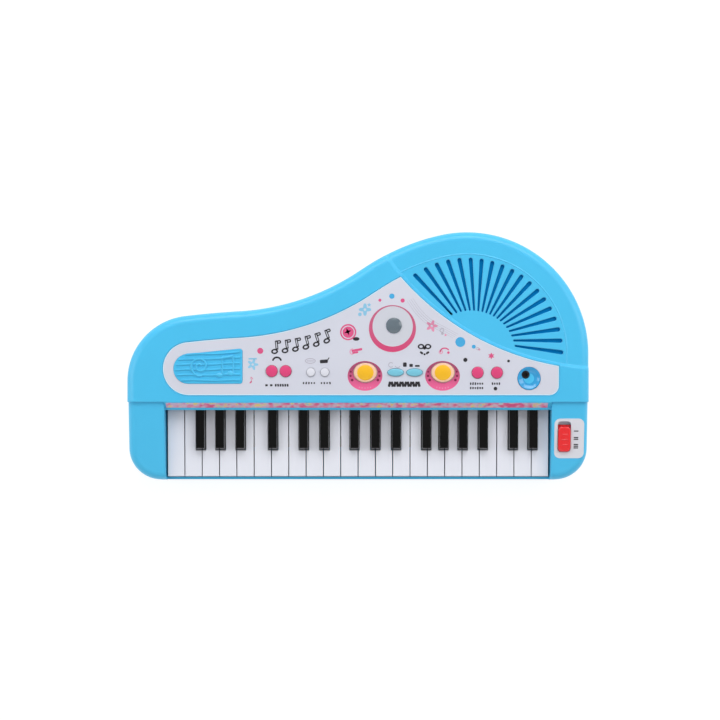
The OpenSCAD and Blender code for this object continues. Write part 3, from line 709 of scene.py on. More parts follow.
def step_down(points):
    """Fall of the deck at points: the grille's step, its field, and the rounded front edge."""
    points = np.asarray(points, float)
    fan = smoothstep((fan_depth(points) + STEP_HALF) / (2 * STEP_HALF))
    off = np.abs(distance_to(points, DECK_LINE, False) - FIELD_INSET)
    ridge = 1 - smoothstep(off / RIDGE_HALF)
    front = edge_drop(points[:, 1] - DECK_FRONT, FRONT_EDGE_R)
    return fan * (FAN_DROP - FIELD_RIDGE * ridge) + front


def rim_profile(top, thick):
    """Closed profile of a wall that turns over into a top of this thickness through a rounded edge.

    top is a height, or for a sloping top a function of the points."""
    def level(dz):
        return lambda xy: heights(top, xy) + dz

    outer = [(0.35, SEAM_Z, 0), (0.0, SEAM_Z + 0.5, 0)]
    outer += [(EDGE_R * (1 - math.cos(a)), level(EDGE_R * (math.sin(a) - 1)), 1)
              for a in np.linspace(0, math.pi / 2, 9)]
    return outer + [(EDGE_R + LAP, level(0), 1), (EDGE_R + LAP, level(-thick), 1),
                    (WALL + 0.5, level(-EDGE_R), 1), (WALL, SEAM_Z, 0)]


def slot_loop(angle, grow=0.0):
    """Outline of one grille slot, anticlockwise."""
    way = polar(angle)

    def reach(centre, radius):
        q = SLOT_HUB - centre
        b = q @ way
        return -b + math.sqrt(b * b - q @ q + radius * radius)

    inner = reach(SLOT_INNER_C, SLOT_INNER_R)
    outer = min(reach(rear_c, REAR_R - SLOT_MARGIN), reach(shoulder_c, SHOULDER_R - SLOT_MARGIN))
    ends = [(inner, SLOT_HALF_W[0], 90), (outer, SLOT_HALF_W[1], -90)]
    return np.array([SLOT_HUB + way * place + (half + grow) * polar(angle + start + k * 22.5)
                     for place, half, start in ends for k in range(9)])


def emblem_loop(grow=0.0):
    x, y = EMBLEM_C
    r = EMBLEM_R + grow
    left = arc_points(EMBLEM_C, r, 95, 270, 24)
    right = EMBLEM_RIGHT + grow
    low = rounded_corners([(x, y - r), (right, y - r), (right, EMBLEM_TOP + grow), (x, y + r)],
                          [0.1, 2.5, 2.5, 0.1])
    return np.array(left + [p for p in low if p[0] > x + 0.5])


def panel_loop(inset):
    """Outline of the control panel with every edge moved in, anticlockwise."""
    right = PANEL_RIGHT - inset
    corner = np.array([PANEL_RIGHT - PANEL_CORNER, PANEL_C[1] - PANEL_R + PANEL_CORNER])
    fan_r = FAN_R + 1.5 + inset
    top = [p for p in inset_line(PANEL_R + inset) if p[0] > PANEL_C[0]
           and np.linalg.norm(p - FAN_C) > fan_r and p[0] < right]
    apex = top[0]
    start = math.degrees(math.atan2(-math.sqrt(fan_r ** 2 - (right - FAN_C[0]) ** 2),
                                    right - FAN_C[0]))
    stop = math.degrees(math.atan2(apex[1] - FAN_C[1], apex[0] - FAN_C[0]))
    return np.array(arc_points(corner, PANEL_CORNER - inset, 270, 360, 9)
                    + arc_points(FAN_C, fan_r, start, stop % 360 - 360, 90) + top[1:]
                    + arc_points(PANEL_C, PANEL_R - inset, 97, 270, 40))


def deck_lines(slots, border):
    """Lines that the deck's triangles follow: round slots and panel, on the steps and the front edge."""
    lines = [ring_line(slot_loop(a, 0.35)) for a in slots]
    lines += [ring_line(panel_loop(-grow)) for grow in (0.35, 0.6, BEAD_AT, 1.15)]
    for off in np.linspace(-STEP_HALF, STEP_HALF, 9):
        arc = np.array(arc_points(FAN_C, FAN_R - off, 205, 275, 200))
        lines.append(arc[inside(arc, border)])
    for off in np.linspace(-RIDGE_HALF, RIDGE_HALF, 7):
        line = inset_line(FIELD_INSET + off)
        lines.append(line[fan_depth(line) > -STEP_HALF])
    for d in EDGE_FINE:
        lines.append(np.array([(x, DECK_FRONT + d) for x in np.linspace(8 - HALF_W, HALF_W - 8, 60)]))
    return lines


def button_holes():
    return [circle_loop(b["at"], b["half"][0] + PLAY, 40, b["half"][1] + PLAY) for b in BUTTONS]


def deck_parts():
    """Rim, deck plate with grille slots, and the bed under the control panel."""
    first, last = SLOT_ANGLES
    slots = [first + (last - first) * k / (SLOTS - 1) for k in range(SLOTS)]
    slot_holes = [slot_loop(a) for a in slots]
    panel_hole = panel_loop(0)
    border = inset_line(EDGE_R + LAP)
    lines = deck_lines(slots, border)
    edge = np.concatenate(slot_holes)

    def height(points):
        z = DECK_Z - step_down(points)
        near_slot = np.zeros(len(points), bool)
        for start in range(0, len(points), 1000):
            chunk = points[start:start + 1000]
            gap = np.abs(chunk[:, None, :] - edge[None]).max(2).min(1)
            near_slot[start:start + 1000] = gap < 1e-3
        z[near_slot] -= RIM_DROP
        z[distance_to(points, panel_hole) < 1e-3] -= RIM_DROP
        bead = np.abs(distance_to(points, panel_hole) - BEAD_AT) < 0.02
        z[bead & (fan_depth(points) < 0)] += BEAD_RISE
        return z

    def underside(points):
        return DECK_Z - DECK_T - FAN_DROP * (fan_depth(points) > -2.5)

    deck = plate([border, panel_hole, *slot_holes], height, underside, lines)
    rim = sweep(DECK_STATIONS, rim_profile(DECK_Z, DECK_T), step_down)
    holes = button_holes() + [circle_loop(LENS_AT, LENS_R - 0.5), circle_loop(JACK_AT, JACK_R + 0.2)]
    bed = plate([panel_loop(-2.0), *holes], DECK_Z - PANEL_T, DECK_Z - DECK_T)
    return [rim, deck, bed]


def cheek_top(points):
    return CHEEK_Z + (np.asarray(points)[:, 1] - DECK_FRONT) * math.tan(math.radians(CHEEK_SLOPE))


def switch_opening():
    half = KNOB_HALF + 0.4
    return rounded_box(KNOB_AT - half, KNOB_AT + half + (0, KNOB_TRAVEL), KNOB_CORNER)


def cheek_parts(side):
    """One cheek: outer wall, sloping top with the switch opening, and the wall beside the keys."""
    stations = cheek_stations(side)

    def well_edge(points):
        return edge_drop(np.abs(points[:, 0]) - WELL_X, WELL_EDGE_R)

    rim = sweep(stations, rim_profile(cheek_top, CHEEK_T), well_edge)
    outer = inset_line(EDGE_R + LAP, stations)
    rear_y = outer[-1][1]
    border = np.vstack([outer, [[side * WELL_X, rear_y]]])
    if side < 0:
        border = border[::-1]
    lines = [np.array([(side * (WELL_X + d), y) for y in np.linspace(-HALF_D + 8, rear_y - 0.2, 24)])
             for d in (0.1, 0.3, 0.7, WELL_EDGE_R)]
    holes = []
    if side > 0:
        holes = [switch_opening()]

    def height(points):
        return cheek_top(points) - well_edge(points)

    def underside(points):
        return cheek_top(points) - CHEEK_T

    return [rim, plate([border, *holes], height, underside, lines), well_wall(side)]


def well_wall(side):
    """The cheek's wall beside the keys, a hair behind the edges of the cheek's top and front."""
    behind, below, r = 0.05, 1.3, EDGE_R - LAP
    front, rear = -HALF_D + CHEEK_INSET + 0.5, CHEEK_REAR
    corner = np.array([(front + r * (1 - math.cos(a)), r * (math.sin(a) - 1) - below)
                       for a in np.linspace(0, math.pi / 2, 9)])
    corner[:, 1] += cheek_top(np.column_stack([corner[:, 0], corner[:, 0]]))
    roof = cheek_top([(0, rear)])[0] - below
    low, high = sorted((side * (WELL_X + behind), side * (WELL_X + WALL)))
    return extruded_x([(front, SEAM_Z), *corner, (rear, roof), (rear, SEAM_Z)], low, high)


def fascia_parts():
    """The sloping front edge of the deck over the keys."""
    profile = rounded_corners(
        [(-36.5, DECK_Z - 0.05), (DECK_FRONT, DECK_Z - 0.05), (-44.4, 41.1), (FASCIA_Y, 40.4),
         (FASCIA_Y, 38.7), (-43.0, 38.7), (-36.5, 45.9)],
        [0.05, 1.2, 0.8, 0.45, 0.4, 0.6, 0.3])
    return [extruded_x(profile, -WELL_X - 0.1, WELL_X + 0.1)]


def button_list():
    """Place, half sizes and kind of each button, from the CAD nodes."""
    found = []
    for prefix, count in (("pink_button", 4), ("white_button", 2), ("oval_button", 2), ("drum_pad", 2)):
        for i in range(1, count + 1):
            node = f"{prefix}_{i}"
            lo, hi = corners(node)
            found.append({"node": node, "kind": prefix, "low": lo[2], "top": hi[2],
                          "at": ((lo[0] + hi[0]) / 2, (lo[1] + hi[1]) / 2),
                          "half": ((hi[0] - lo[0]) / 2 - FLANGE, (hi[1] - lo[1]) / 2 - FLANGE)})
    return found


BUTTONS = button_list()
knob_lo, knob_hi = corners("power_knob")
KNOB_HALF = np.array([5.4, 11.0])
KNOB_TRAVEL = 4.0
KNOB_CORNER = 3.2
KNOB_RISE = 2.6
KNOB_AT = np.array([(knob_lo[0] + knob_hi[0]) / 2, -71.5])


def build_casing():
    parts = deck_parts() + cheek_parts(1) + cheek_parts(-1) + fascia_parts()
    make_mesh("upper_casing", parts, BLUE, CASING, ("top_shell",))
    # A sheet under the slots, coloured dark blue as painted shade for the hollow behind the grille.
    shade_sheet_edge = [p for p in inset_line(FIELD_INSET) if fan_depth([p])[0] > 4]
    arc = [p for p in arc_points(FAN_C, FAN_R - 5, 218, 262, 40) if inside([p], inset_line(FIELD_INSET))[0]]
    loop = np.array(shade_sheet_edge + arc)
    make_mesh("grille_shade_sheet", [plate([loop], SHADE_SHEET_Z[1], SHADE_SHEET_Z[0])], SLOT_SHADE_BLUE, CASING)

    def outside(e):
        return e.calc_length() > 4 * MM and all(v.co.z < (SEAM_Z - 0.5) * MM for v in e.verts)

    refined("bottom_shell", "lower_casing", BLUE, CASING, bevel=0.4, where=outside)
    refined("battery_door", "battery_cover", BLUE, "battery_door", bevel=0.25)


def build_emblem():
    """Raised plate with staff lines, a swirl and two joined notes, as moulded into the casing."""
    top = DECK_Z + 0.45
    parts = [soft_plate(emblem_loop(), top, DECK_Z - PANEL_T - 0.1, 0.5)]
    staff = 6
    for k in range(staff):
        y = -20.4 + 4.4 * k
        tilt = 0.045 * k / (staff - 1)
        reach = math.sqrt(max(EMBLEM_R ** 2 - (y - EMBLEM_C[1]) ** 2, 0))
        left, right = EMBLEM_C[0] - reach + 2.2, EMBLEM_RIGHT - 2.0
        path = [(x, y + tilt * (x - left) + 0.3 * math.sin((x - left) / 6), top + 0.1)
                for x in np.linspace(left, right, 26)]
        parts.append(tube(path, 0.95, 10))
    swirl = [(-136.4 + r * math.cos(a), -8.4 + r * math.sin(a), top + 0.25)
             for a, r in zip(np.linspace(0.6, 11.2, 80), np.linspace(1.2, 8.6, 80))]
    parts.append(tube(swirl, 1.0, 12))
    heads = ((-119.5, -16.2), (-110.0, -14.6))
    bead = [(2.9, 2.2, top - 0.2), (2.7, 2.0, top + 0.8), (1.8, 1.3, top + 1.3), (0.3, 0.2, top + 1.4)]
    for x, y in heads:
        parts.append(oval_stack((x, y), bead, 28))
        parts.append(tube([(x + dx, y + dy, top + 0.3) for dx, dy in ((2.3, 0), (2.4, 8), (2.5, 15.2))],
                          0.8, 12))
    parts.append(tube([(x + dx, y + 15.0, top + 0.3) for (x, y), dx in zip(heads, (2.4, 2.6))], 1.3, 12))
    make_mesh("emblem_plate", parts, BLUE, CASING)


def build_panel():
    gap = 0.15
    holes = button_holes() + [emblem_loop(gap)[::-1], circle_loop(DISH_AT, DISH_R + gap),
                              circle_loop(LENS_AT, LENS_R + gap)]
    sheet = soft_plate(panel_loop(gap), DECK_Z, DECK_Z - PANEL_T, 0.3, holes)
    make_mesh("panel_sheet", [sheet], PANEL, CASING, ("control_panel",))


# ---- printed graphics

def flat_shape(outer, holes=()):
    return plate([outer, *holes], PRINT_Z, DECK_Z - 0.01)


def dot(at, r):
    return flat_shape(circle_loop(at, r, 28))


def turned(points, at, angle, size=1.0):
    """Points scaled, turned and moved from the origin to a place."""
    return np.asarray(points) * size @ np.array([polar(angle), polar(angle + 90)]) + np.array(at)


def bar(at, half, angle=0.0):
    loop = rounded_box((-half[0], -half[1]), half, min(half) * 0.45, 3)
    return flat_shape(turned(loop, at, angle))


def stroke(points, width):
    """A flat line of a given width through 2D points."""
    pts = np.array(points, float)
    way = np.gradient(pts, axis=0)
    side = np.column_stack([way[:, 1], -way[:, 0]]) / np.linalg.norm(way, axis=1)[:, None]
    return flat_shape(np.vstack([pts + side * width / 2, (pts - side * width / 2)[::-1]]))


def arc_stroke(at, r, a0, a1, width, half_y=None):
    return stroke([(at[0] + r * math.cos(a), at[1] + (half_y or r) * math.sin(a))
                   for a in np.radians(np.linspace(a0, a1, 24))], width)


def hoop(at, r, width, half_y=None):
    half_y = half_y or r
    return flat_shape(circle_loop(at, r, 40, half_y), [circle_loop(at, r - width, 40, half_y - width)])


def star(at, r, points=5, inner=0.45, turn=90):
    loop = [np.array(at) + (r if k % 2 == 0 else r * inner) * polar(turn + 180 * k / points)
            for k in range(2 * points)]
    return flat_shape(loop)


def flower(at, r, petals=5):
    loop = [np.array(at) + r * (0.72 + 0.28 * math.cos(petals * a)) * polar(math.degrees(a))
            for a in np.linspace(0, 2 * math.pi, 60, endpoint=False)]
    return flat_shape(loop, [circle_loop(at, r * 0.2, 14)])


def note(at, size, tilt=0.0):
    """A quaver: tilted oval head, stem and flag, drawn about its head."""
    head, stem, flag = [turned(points, at, tilt, size) for points in (
        [(0.475 * math.cos(a) + 0.1 * math.sin(a), 0.36 * math.sin(a) + 0.12 * math.cos(a))
         for a in np.linspace(0, 2 * math.pi, 24, endpoint=False)],
        [(0.34, 0.0), (0.36, 1.0), (0.36, 2.0)],
        [(0.36, 1.95), (0.62, 1.62), (0.95, 1.4), (0.9, 0.95)])]
    return [flat_shape(head), stroke(stem, 0.16 * size), stroke(flag, 0.2 * size)]


def outlined_note(at, size, tilt):
    """A fat outlined quaver, for the heading on the panel."""
    head = circle_loop((0, 0), 0.82, 26, 0.62), circle_loop((0, 0), 0.42, 22, 0.26)
    stem = rounded_box((0.3, 0.35), (0.95, 2.5), 0.15, 3), rounded_box((0.52, 0.65), (0.73, 2.2), 0.08, 2)
    flag = rounded_box((0.7, 1.7), (1.75, 2.5), 0.3, 4), rounded_box((0.98, 1.98), (1.47, 2.22), 0.1, 3)
    return [flat_shape(turned(outer, at, tilt, size), [turned(inner, at, tilt, size)])
            for outer, inner in (head, stem, flag)]


def ink(name, shapes, material):
    make_mesh(name, shapes, material, CASING, sharp=20)


def print_drum_pads():
    """The pink ovals round the drum pads, with dark dots at their sides and glints at their front."""
    ovals, dots, glints = [], [], []
    half_x, half_y, gap = 15.0, 12.8, 0.45
    for b in BUTTONS:
        if b["kind"] != "drum_pad":
            continue
        x, y = b["at"][0] - 0.3, b["at"][1]
        hole = circle_loop(b["at"], b["half"][0] + gap, 48, b["half"][1] + gap)
        ovals.append(flat_shape(circle_loop((x, y - 2.8), half_x, 64, half_y), [hole]))
        for side in (-1, 1):
            for dx, dy, r in ((12.3, 0.8, 0.85), (12.5, -2.8, 1.0), (11.1, -6.4, 1.15)):
                dots.append((x + side * dx, y + dy, r))
        for a in np.radians((-112, -101, -90, -79, -68)):
            glints.append((x + (half_x - 2.0) * math.cos(a), y - 2.8 + (half_y - 2.2) * math.sin(a), 0.55))
    ink("print_pad_rings", ovals, PAD_PINK)
    lift = 0.04
    for name, marks, material in (("print_pad_dots", dots, INK["dark_red"]),
                                  ("print_pad_glints", glints, INK["light_pink"])):
        ink(name, [plate([circle_loop((x, y), r, 20)], PRINT_Z + lift, PRINT_Z - 0.01)
                   for x, y, r in marks], material)


def print_lens_ring():
    """The pink ring round the lens, wider at its front."""
    ring = flat_shape(circle_loop((29.7, 24.1), 20.3, 96), [circle_loop((29.9, 26.0), 17.4, 96)])
    ink("print_lens_ring", [ring], RING_PINK)


def print_colours():
    """Dots, rings, stars, flowers and a small note in pink and blue, the lens's disc, and a pale line round
    the panel that is a painted highlight on its rounded edge.
    """
    pink = [dot((-84.4, 4.9), 2.6), hoop((-8.5, 21.0), 7.0, 1.3), dot((-8.5, 21.0), 4.9),
            dot((38.5, 48.3), 1.8), dot((18.9, 48.6), 1.3), star((115.0, 0.5), 3.0, 6, 0.5)]
    pink += note((-92.6, -22.2), 2.3, 10)
    pink += [bar((-1.0, 5.6), (4.6, 1.0), 10), bar((-2.4, 3.4), (2.6, 0.8), 10),
             arc_stroke((74.8, 4.6), 3.6, 20, 200, 1.1, 2.6), dot((78.0, 3.4), 1.1)]
    ink("print_pink", pink, INK["pink"])
    ink("print_lens_disc", [hoop((30.0, 26.3), 16.9, 10.0)], INK["disc"])
    # The pale line round the panel is a painted highlight, not print.
    ink("panel_edge_painted_highlight", [flat_shape(panel_loop(0.2), [panel_loop(0.75)])], PAINTED_EDGE_HIGHLIGHT)
    ink("print_light_pink", [
        flower((63.6, 26.4), 5.2), hoop((71.5, 4.0), 1.8, 0.6), dot((75.5, 18.5), 0.9),
        arc_stroke((-4.5, 4.2), 2.4, 90, 270, 0.7), star((104.5, 6.2), 1.5, 4, 0.4)], INK["light_pink"])
    ink("print_blue", [dot((88.3, 12.5), 4.3), dot((99.9, 8.5), 1.7), dot((29.2, 52.1), 2.3)], INK["blue"])
    ink("print_light_blue", [
        flower((6.0, 40.5), 5.4, 4), dot((1.6, 36.4), 1.6), flower((-90.9, -6.9), 5.0),
        bar((-90.9, -1.9), (3.6, 0.7)), star((9.6, 44.6), 2.0, 5)], INK["light_blue"])


def bow(at):
    """A bow: two loops, two short ends and a knot."""
    x, y = at
    shapes = []
    for side in (-1, 1):
        loop_at = (x + side * 3.0, y + 1.2)
        shapes += [flat_shape(circle_loop(loop_at, 2.9, 24, 2.3), [circle_loop(loop_at, 1.5, 18, 1.1)]),
                   bar((x + side * 2.6, y - 4.2), (1.5, 0.9), side * 35)]
    return shapes + [dot(at, 1.4), dot((x, y - 5.5), 0.9)]


def captions():
    """Small bars in place of the words under the left buttons, and a zigzag for the heavier word."""
    shapes = [bar((x, -24.8), (1.1, 0.9)) for x in (-79.0, -74.9)]
    shapes += [bar((-71.0 + 2.05 * k, -24.8), (0.75, 1.15), 8 * (k % 2)) for k in range(6)]
    shapes += [bar((27.2 + 2.3 * k, -23.9), (1.1, 2.3), 14 if k % 2 else -14) for k in range(12)]
    return shapes


def caption_rows():
    """Rows of uneven, slightly turned bars in place of the other words: first x, last x and y."""
    rows = ((-48.2, -36.6, -22.9), (-32.8, -23.0, -22.9), (96.2, 108.4, -23.4), (96.2, 108.4, -27.2),
            (115.0, 123.0, -23.4))
    shapes = []
    for lean, (x0, x1, y) in enumerate(rows):
        count = int((x1 - x0) / 2.0)
        for k in range(count):
            shapes.append(bar((x0 + (k + 0.5) * (x1 - x0) / count, y), (0.62, random.uniform(0.75, 1.2)),
                              random.uniform(-10, 10) + lean))
    return shapes


def print_black():
    black = [arc_stroke((-70.0, -4.4), 3.7, 12, 168, 1.5)]
    black += [dot(at, r) for at, r in (((92.6, -2.9), 1.8), ((129.9, -3.9), 1.2), ((118.6, -27.7), 1.6))]
    black += [flat_shape(circle_loop((-1.6, 15.2), 2.9, 26, 1.6)), star((-8.9, 21.4), 3.4, 4, 0.35, 20)]
    black += [bar(at, half) for at, half in (((40.4, -7.0), (1.6, 1.9)), ((45.8, -7.7), (1.5, 1.3)),
                                             ((51.2, -8.1), (2.0, 0.8)))]
    black += captions() + bow((57.4, 7.4)) + [bar((-29.5, -4.2), (3.4, 1.5), 4)]
    black.append(stroke([(-26.4, -3.4), (-25.2, -1.4), (-25.0, -0.8)], 0.8))
    ink("print_black", black + caption_rows(), INK["black"])


def print_grey():
    """Faint outlines over the small buttons, and a curved staff beside the lens."""
    grey = [hoop((-41.2, -3.8), 4.6, 0.7, 2.4), bar((-41.2, -3.8), (3.0, 0.35)),
            arc_stroke((28.4, -7.2), 2.0, 40, 320, 0.7), arc_stroke((34.2, -7.4), 2.2, 200, 340, 0.7),
            hoop((72.4, 22.6), 1.9, 0.6), dot((72.8, 19.8), 1.1), hoop((103.2, 6.8), 1.7, 0.45, 1.2)]
    staff = [(42.5, 47.5), (50.0, 37.0), (59.0, 28.5), (70.0, 22.5), (82.0, 16.0)]
    for off in (0.0, 1.5, 3.0, 4.5):
        grey.append(stroke(smooth_path([(x + off, y + off * 0.7) for x, y in staff]), 0.22))
    ink("print_grey", grey, INK["grey"])


def print_heading():
    """Six outlined notes on a rising curve, in place of the heading's lettering."""
    heading = []
    for k in range(6):
        x = -72.0 + 9.0 * k
        y = 4.4 + 0.05 * (x + 71.5) + 0.0035 * (x + 71.5) ** 2
        heading += outlined_note((x, y), 3.7, 6 + 3 * k)
    ink("print_heading", heading, INK["black"])


def build_prints():
    """The panel's graphics: generic notes, dots, flowers, bars and rings, with no lettering."""
    random.seed(7)
    print_lens_ring()
    print_drum_pads()
    print_colours()
    print_black()
    print_grey()
    print_heading()


# ---- controls

def rounded_cap(half, low, top, r, dome):
    """Rings of a cap: straight side, rounded edge and a shallow dome."""
    rings = [(half[0], half[1], low)]
    for a in np.linspace(0, math.pi / 2, 6):
        inset = r * (1 - math.cos(a))
        rings.append((half[0] - inset, half[1] - inset, top - dome - r + r * math.sin(a)))
    a0, b0 = half[0] - r, half[1] - r
    return rings + [(a0 * s, b0 * s, top - dome * s * s) for s in (0.85, 0.65, 0.45, 0.25, 0.08)]


def build_buttons():
    looks = {"pink_button": (PINK, "pink", 0.9, 0.5), "white_button": (BUTTON_WHITE, "panel", 0.8, 0.4),
             "oval_button": (PALE_BLUE, "pale_blue", 1.0, 0.3)}
    for b in BUTTONS:
        half, at, low = b["half"], b["at"], b["low"]
        flange = oval_stack(at, [(half[0] + FLANGE, half[1] + FLANGE, low + h) for h in FLANGE_Z], 48)
        stem = oval_stack(at, [(STEM_R, STEM_R, low + h) for h in (0, 2.4)], 24)
        if b["kind"] == "drum_pad":
            rim = oval_stack(at, rounded_cap(half, low + FLANGE_Z[0], DECK_Z + 1.8, 1.1, 0.1), 72)
            make_mesh("rim_" + b["node"], [rim, flange, stem], CREAM, b["node"], (b["node"],))
            dome = oval_stack(at, rounded_cap(PAD_DOME, DECK_Z, b["top"], 0.7, 0.9), 64)
            make_mesh("dome_" + b["node"], [dome], YELLOW, b["node"])
            continue
        material, slot, edge, dome = looks[b["kind"]]
        cap = oval_stack(at, rounded_cap(half, low + FLANGE_Z[0], b["top"], edge, dome), 56)
        make_mesh("cap_" + b["node"], [cap, flange, stem], material, b["node"], (b["node"],))


def at_knob(part):
    """Moves a part from the knob's own tilted frame to its place on the cheek."""
    verts, faces = part
    c, s = polar(CHEEK_SLOPE)
    x0, y0 = KNOB_AT
    z0 = cheek_top([KNOB_AT])[0]
    return [(x + x0, y * c - z * s + y0, y * s + z * c + z0) for x, y, z in verts], faces


def build_knob():
    """Pillow-shaped cap with faint grip ridges, its hidden foot and stem, and the plate under it."""
    half, low = KNOB_HALF, -CHEEK_T - 1.7
    cap = soft_plate(rounded_box(-half, half, KNOB_CORNER), KNOB_RISE, low, 1.3)
    foot = plate([rounded_box((-half[0] - 1.6, -half[1] - 1), (half[0] + 1.6, half[1] + 1), 1.0)],
                 low + 1.2, low)
    stem = plate([rounded_box((-2, -3), (2, 3), 0.3)], low + 0.1, -8.0)
    parts = [at_knob(p) for p in (cap, foot, stem)]
    for y in (-4.5, 0.0, 4.5):
        ridge = [(-2.6, y, KNOB_RISE - 0.1), (0, y, KNOB_RISE + 0.02), (2.6, y, KNOB_RISE - 0.1)]
        parts.append(at_knob(tube(ridge, 0.4, 10)))
    make_mesh("slide_knob", parts, RED, "power_knob", ("power_knob",))
    way = rounded_box((-2.6, -3.6), (2.6, 3.6 + KNOB_TRAVEL), 0.3)
    liner = plate([rounded_box((-8, -13), (8, 16.4), 1.0), way], low - 0.2, low - 0.6)
    make_mesh("switch_liner", [at_knob(liner)], LABEL, CASING)


def build_switch_label():
    """White sticker round the power switch, with three generic bar marks."""
    lo, hi = (170.2, -88.3), (196.0, -53.7)
    loop = rounded_box(lo, hi, 5.0, 8)
    rails = [np.array([(x, y) for y in np.linspace(lo[1] + 1, hi[1] - 1, 16)])
             for x in (193.2, 194.2, 195.2, 196.0)]

    def top(points, lift=0.12):
        side = edge_drop(HALF_W - np.abs(points[:, 0]), EDGE_R)
        return cheek_top(points) - side + lift

    def bottom(points):
        return top(points, -0.15)

    make_mesh("switch_label", [plate([loop, switch_opening()], top, bottom, rails)], LABEL, CASING)
    marks = []
    for count, y in ((1, -64.6), (2, -71.0), (3, -77.8)):
        for k in range(count):
            offset = (k - (count - 1) / 2) * 1.5
            loop = rounded_box((187.0, y + offset - 0.5), (191.0, y + offset + 0.5), 0.3, 3)
            marks.append(plate([loop], lambda p: top(p, 0.17), lambda p: top(p, 0.1)))
    make_mesh("switch_marks", marks, INK["black"], CASING, sharp=20)


def build_strip():
    """The flower sticker on the sloping front edge."""
    rear = np.array([DECK_FRONT - 0.6, DECK_Z - 0.8])
    front = np.array([-44.2, 41.5])
    way = (front - rear) / np.linalg.norm(front - rear)
    out = np.array([way[1], -way[0]]) * 0.12
    loop = [rear + out, front + out, front - out, rear - out]
    make_mesh("flower_sticker", [extruded_x(loop, -WELL_X + 1.5, WELL_X - 3.5)], STRIP, CASING)


def build_lens():
    top = corners("light_lens")[1][2]
    neck = LENS_R - 0.7
    rings = [(neck, neck, DECK_Z - 3.5), (neck, neck, DECK_Z - PANEL_T),
             (LENS_R, LENS_R, DECK_Z - PANEL_T + 0.05)]
    rings += rounded_cap((LENS_R, LENS_R), DECK_Z - 0.6, top, 0.5, 1.1)
    make_mesh("lamp_lens", [oval_stack(LENS_AT, rings)], LENS, CASING, ("light_lens",))


def build_jack():
    """The socket's blue dish, and the black socket with its 3.6 mm bore."""
    dish = [(0.5, -1.4), (DISH_R - 7.0, -1.35), (DISH_R - 4.6, -1.1), (DISH_R - 2.6, -0.5),
            (DISH_R - 1.4, 0.4), (DISH_R - 0.8, 0.6), (DISH_R - 0.25, 0.45), (DISH_R, 0.1), (DISH_R, -1.4)]
    radii = [r for r, rise in dish]
    lines = [ring_line(circle_loop(DISH_AT, r, 72)) for r in radii[1:-1]]

    def level(points):
        r = np.linalg.norm(points - np.array(DISH_AT), axis=1)
        return np.interp(r, radii, [DECK_Z + rise for r, rise in dish])

    hole = circle_loop(JACK_AT, JACK_R + 0.1, 40)
    sheet = plate([circle_loop(DISH_AT, DISH_R, 72), hole], level, DECK_Z - 1.9, lines)
    make_mesh("socket_dish", [sheet], DISH_BLUE, CASING)

    lo, hi = corners("mic_jack")
    top, floor = hi[2], hi[2] - BORE_DEPTH
    collar = [(JACK_R, lo[2] + 8), (JACK_R, top - 0.3), (JACK_R - 0.3, top), (BORE_R + 0.5, top),
              (BORE_R, top - 0.5), (BORE_R, floor), (0.2, floor)]
    rings = [(r, r, z) for r, z in collar]
    body = box_part(lo, (*hi[:2], 33.9))
    frame_loop = rounded_box(lo[:2], hi[:2], 0.6, 3)
    sleeve = plate([frame_loop, circle_loop(JACK_AT, BORE_R, 32)], 42.5, 33.8)
    make_mesh("socket_barrel", [oval_stack(JACK_AT, rings, 48), body, sleeve], BLACK, CASING,
              ("mic_jack",))


def build_keys():
    """Every key is its CAD shape with the long edges of its visible part rounded."""
    def on_top(e):
        return e.calc_length() > 2 * MM and all(v.co.y < -0.0275 for v in e.verts)

    for i in range(1, WHITE_KEYS + 1):
        node = f"white_key_{i:02d}"
        refined(node, f"key_white_{i:02d}", KEY_WHITE, node, bevel=0.4, where=on_top)
    for i in range(1, BLACK_KEYS + 1):
        node = f"black_key_{i:02d}"
        refined(node, f"key_black_{i:02d}", KEY_BLACK, node, 0.55, 3, on_top)


# ---- inside and underside

def spring_dome(node, at, low, high):
    """A silicone dome under a key or button."""
    rings = [(3.0, 3.0, low), (2.9, 2.9, low + 0.5), (2.3, 2.3, high - 0.7), (2.1, 2.1, high - 0.2),
             (1.7, 1.7, high)]
    dome = make_mesh("spring_" + node, [oval_stack(at, rings, 24)], SILICONE, CASING)
    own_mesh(dome)


def build_domes():
    """The sheet under the keys, with a dome under each key, and the domes under the buttons."""
    board_z = corners("contact_strips")[0][2]
    sheet_z = board_z + SHEET_T
    sheet = soft_plate(rounded_box((-165, -70), (165, -54), 1.5), sheet_z, board_z, 0.3)
    make_mesh("dome_sheet", [sheet], SILICONE, CASING, ("contact_strips",))
    for kind, count in (("white", WHITE_KEYS), ("black", BLACK_KEYS)):
        for i in range(1, count + 1):
            node = f"{kind}_key_{i:02d}"
            tips = [v.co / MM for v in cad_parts[node].data.vertices
                    if abs(v.co.z / MM - PLUNGER_Z) < 0.05]
            at = [(min(v[k] for v in tips) + max(v[k] for v in tips)) / 2 for k in (0, 1)]
            spring_dome(node, at, sheet_z - 0.02, PLUNGER_Z - DOME_GAP)
    for b in BUTTONS:
        spring_dome(b["node"], b["at"], MAIN_BOARD_Z, b["low"] - DOME_GAP)


# Wire routes, from the battery bay and the loudspeaker to the main board
WIRES = (
    ("wire_red_battery", WIRE_RED, [(52, 44, 19), (56, 46, 24), (50, 34, 32), (40, 20, 34), (36, 8, 34)]),
    ("wire_black_battery", WIRE_BLACK,
     [(52, 20, 19), (57, 18, 25), (50, 12, 32), (42, 10, 34), (37, 6, 34)]),
    ("wire_red_speaker", WIRE_RED, [(92, 34, 38), (86, 24, 37), (84, 10, 34), (88, -4, 33)]),
    ("wire_black_speaker", WIRE_BLACK, [(94, 30, 38), (90, 20, 37), (90, 8, 34), (92, -5, 33)]))


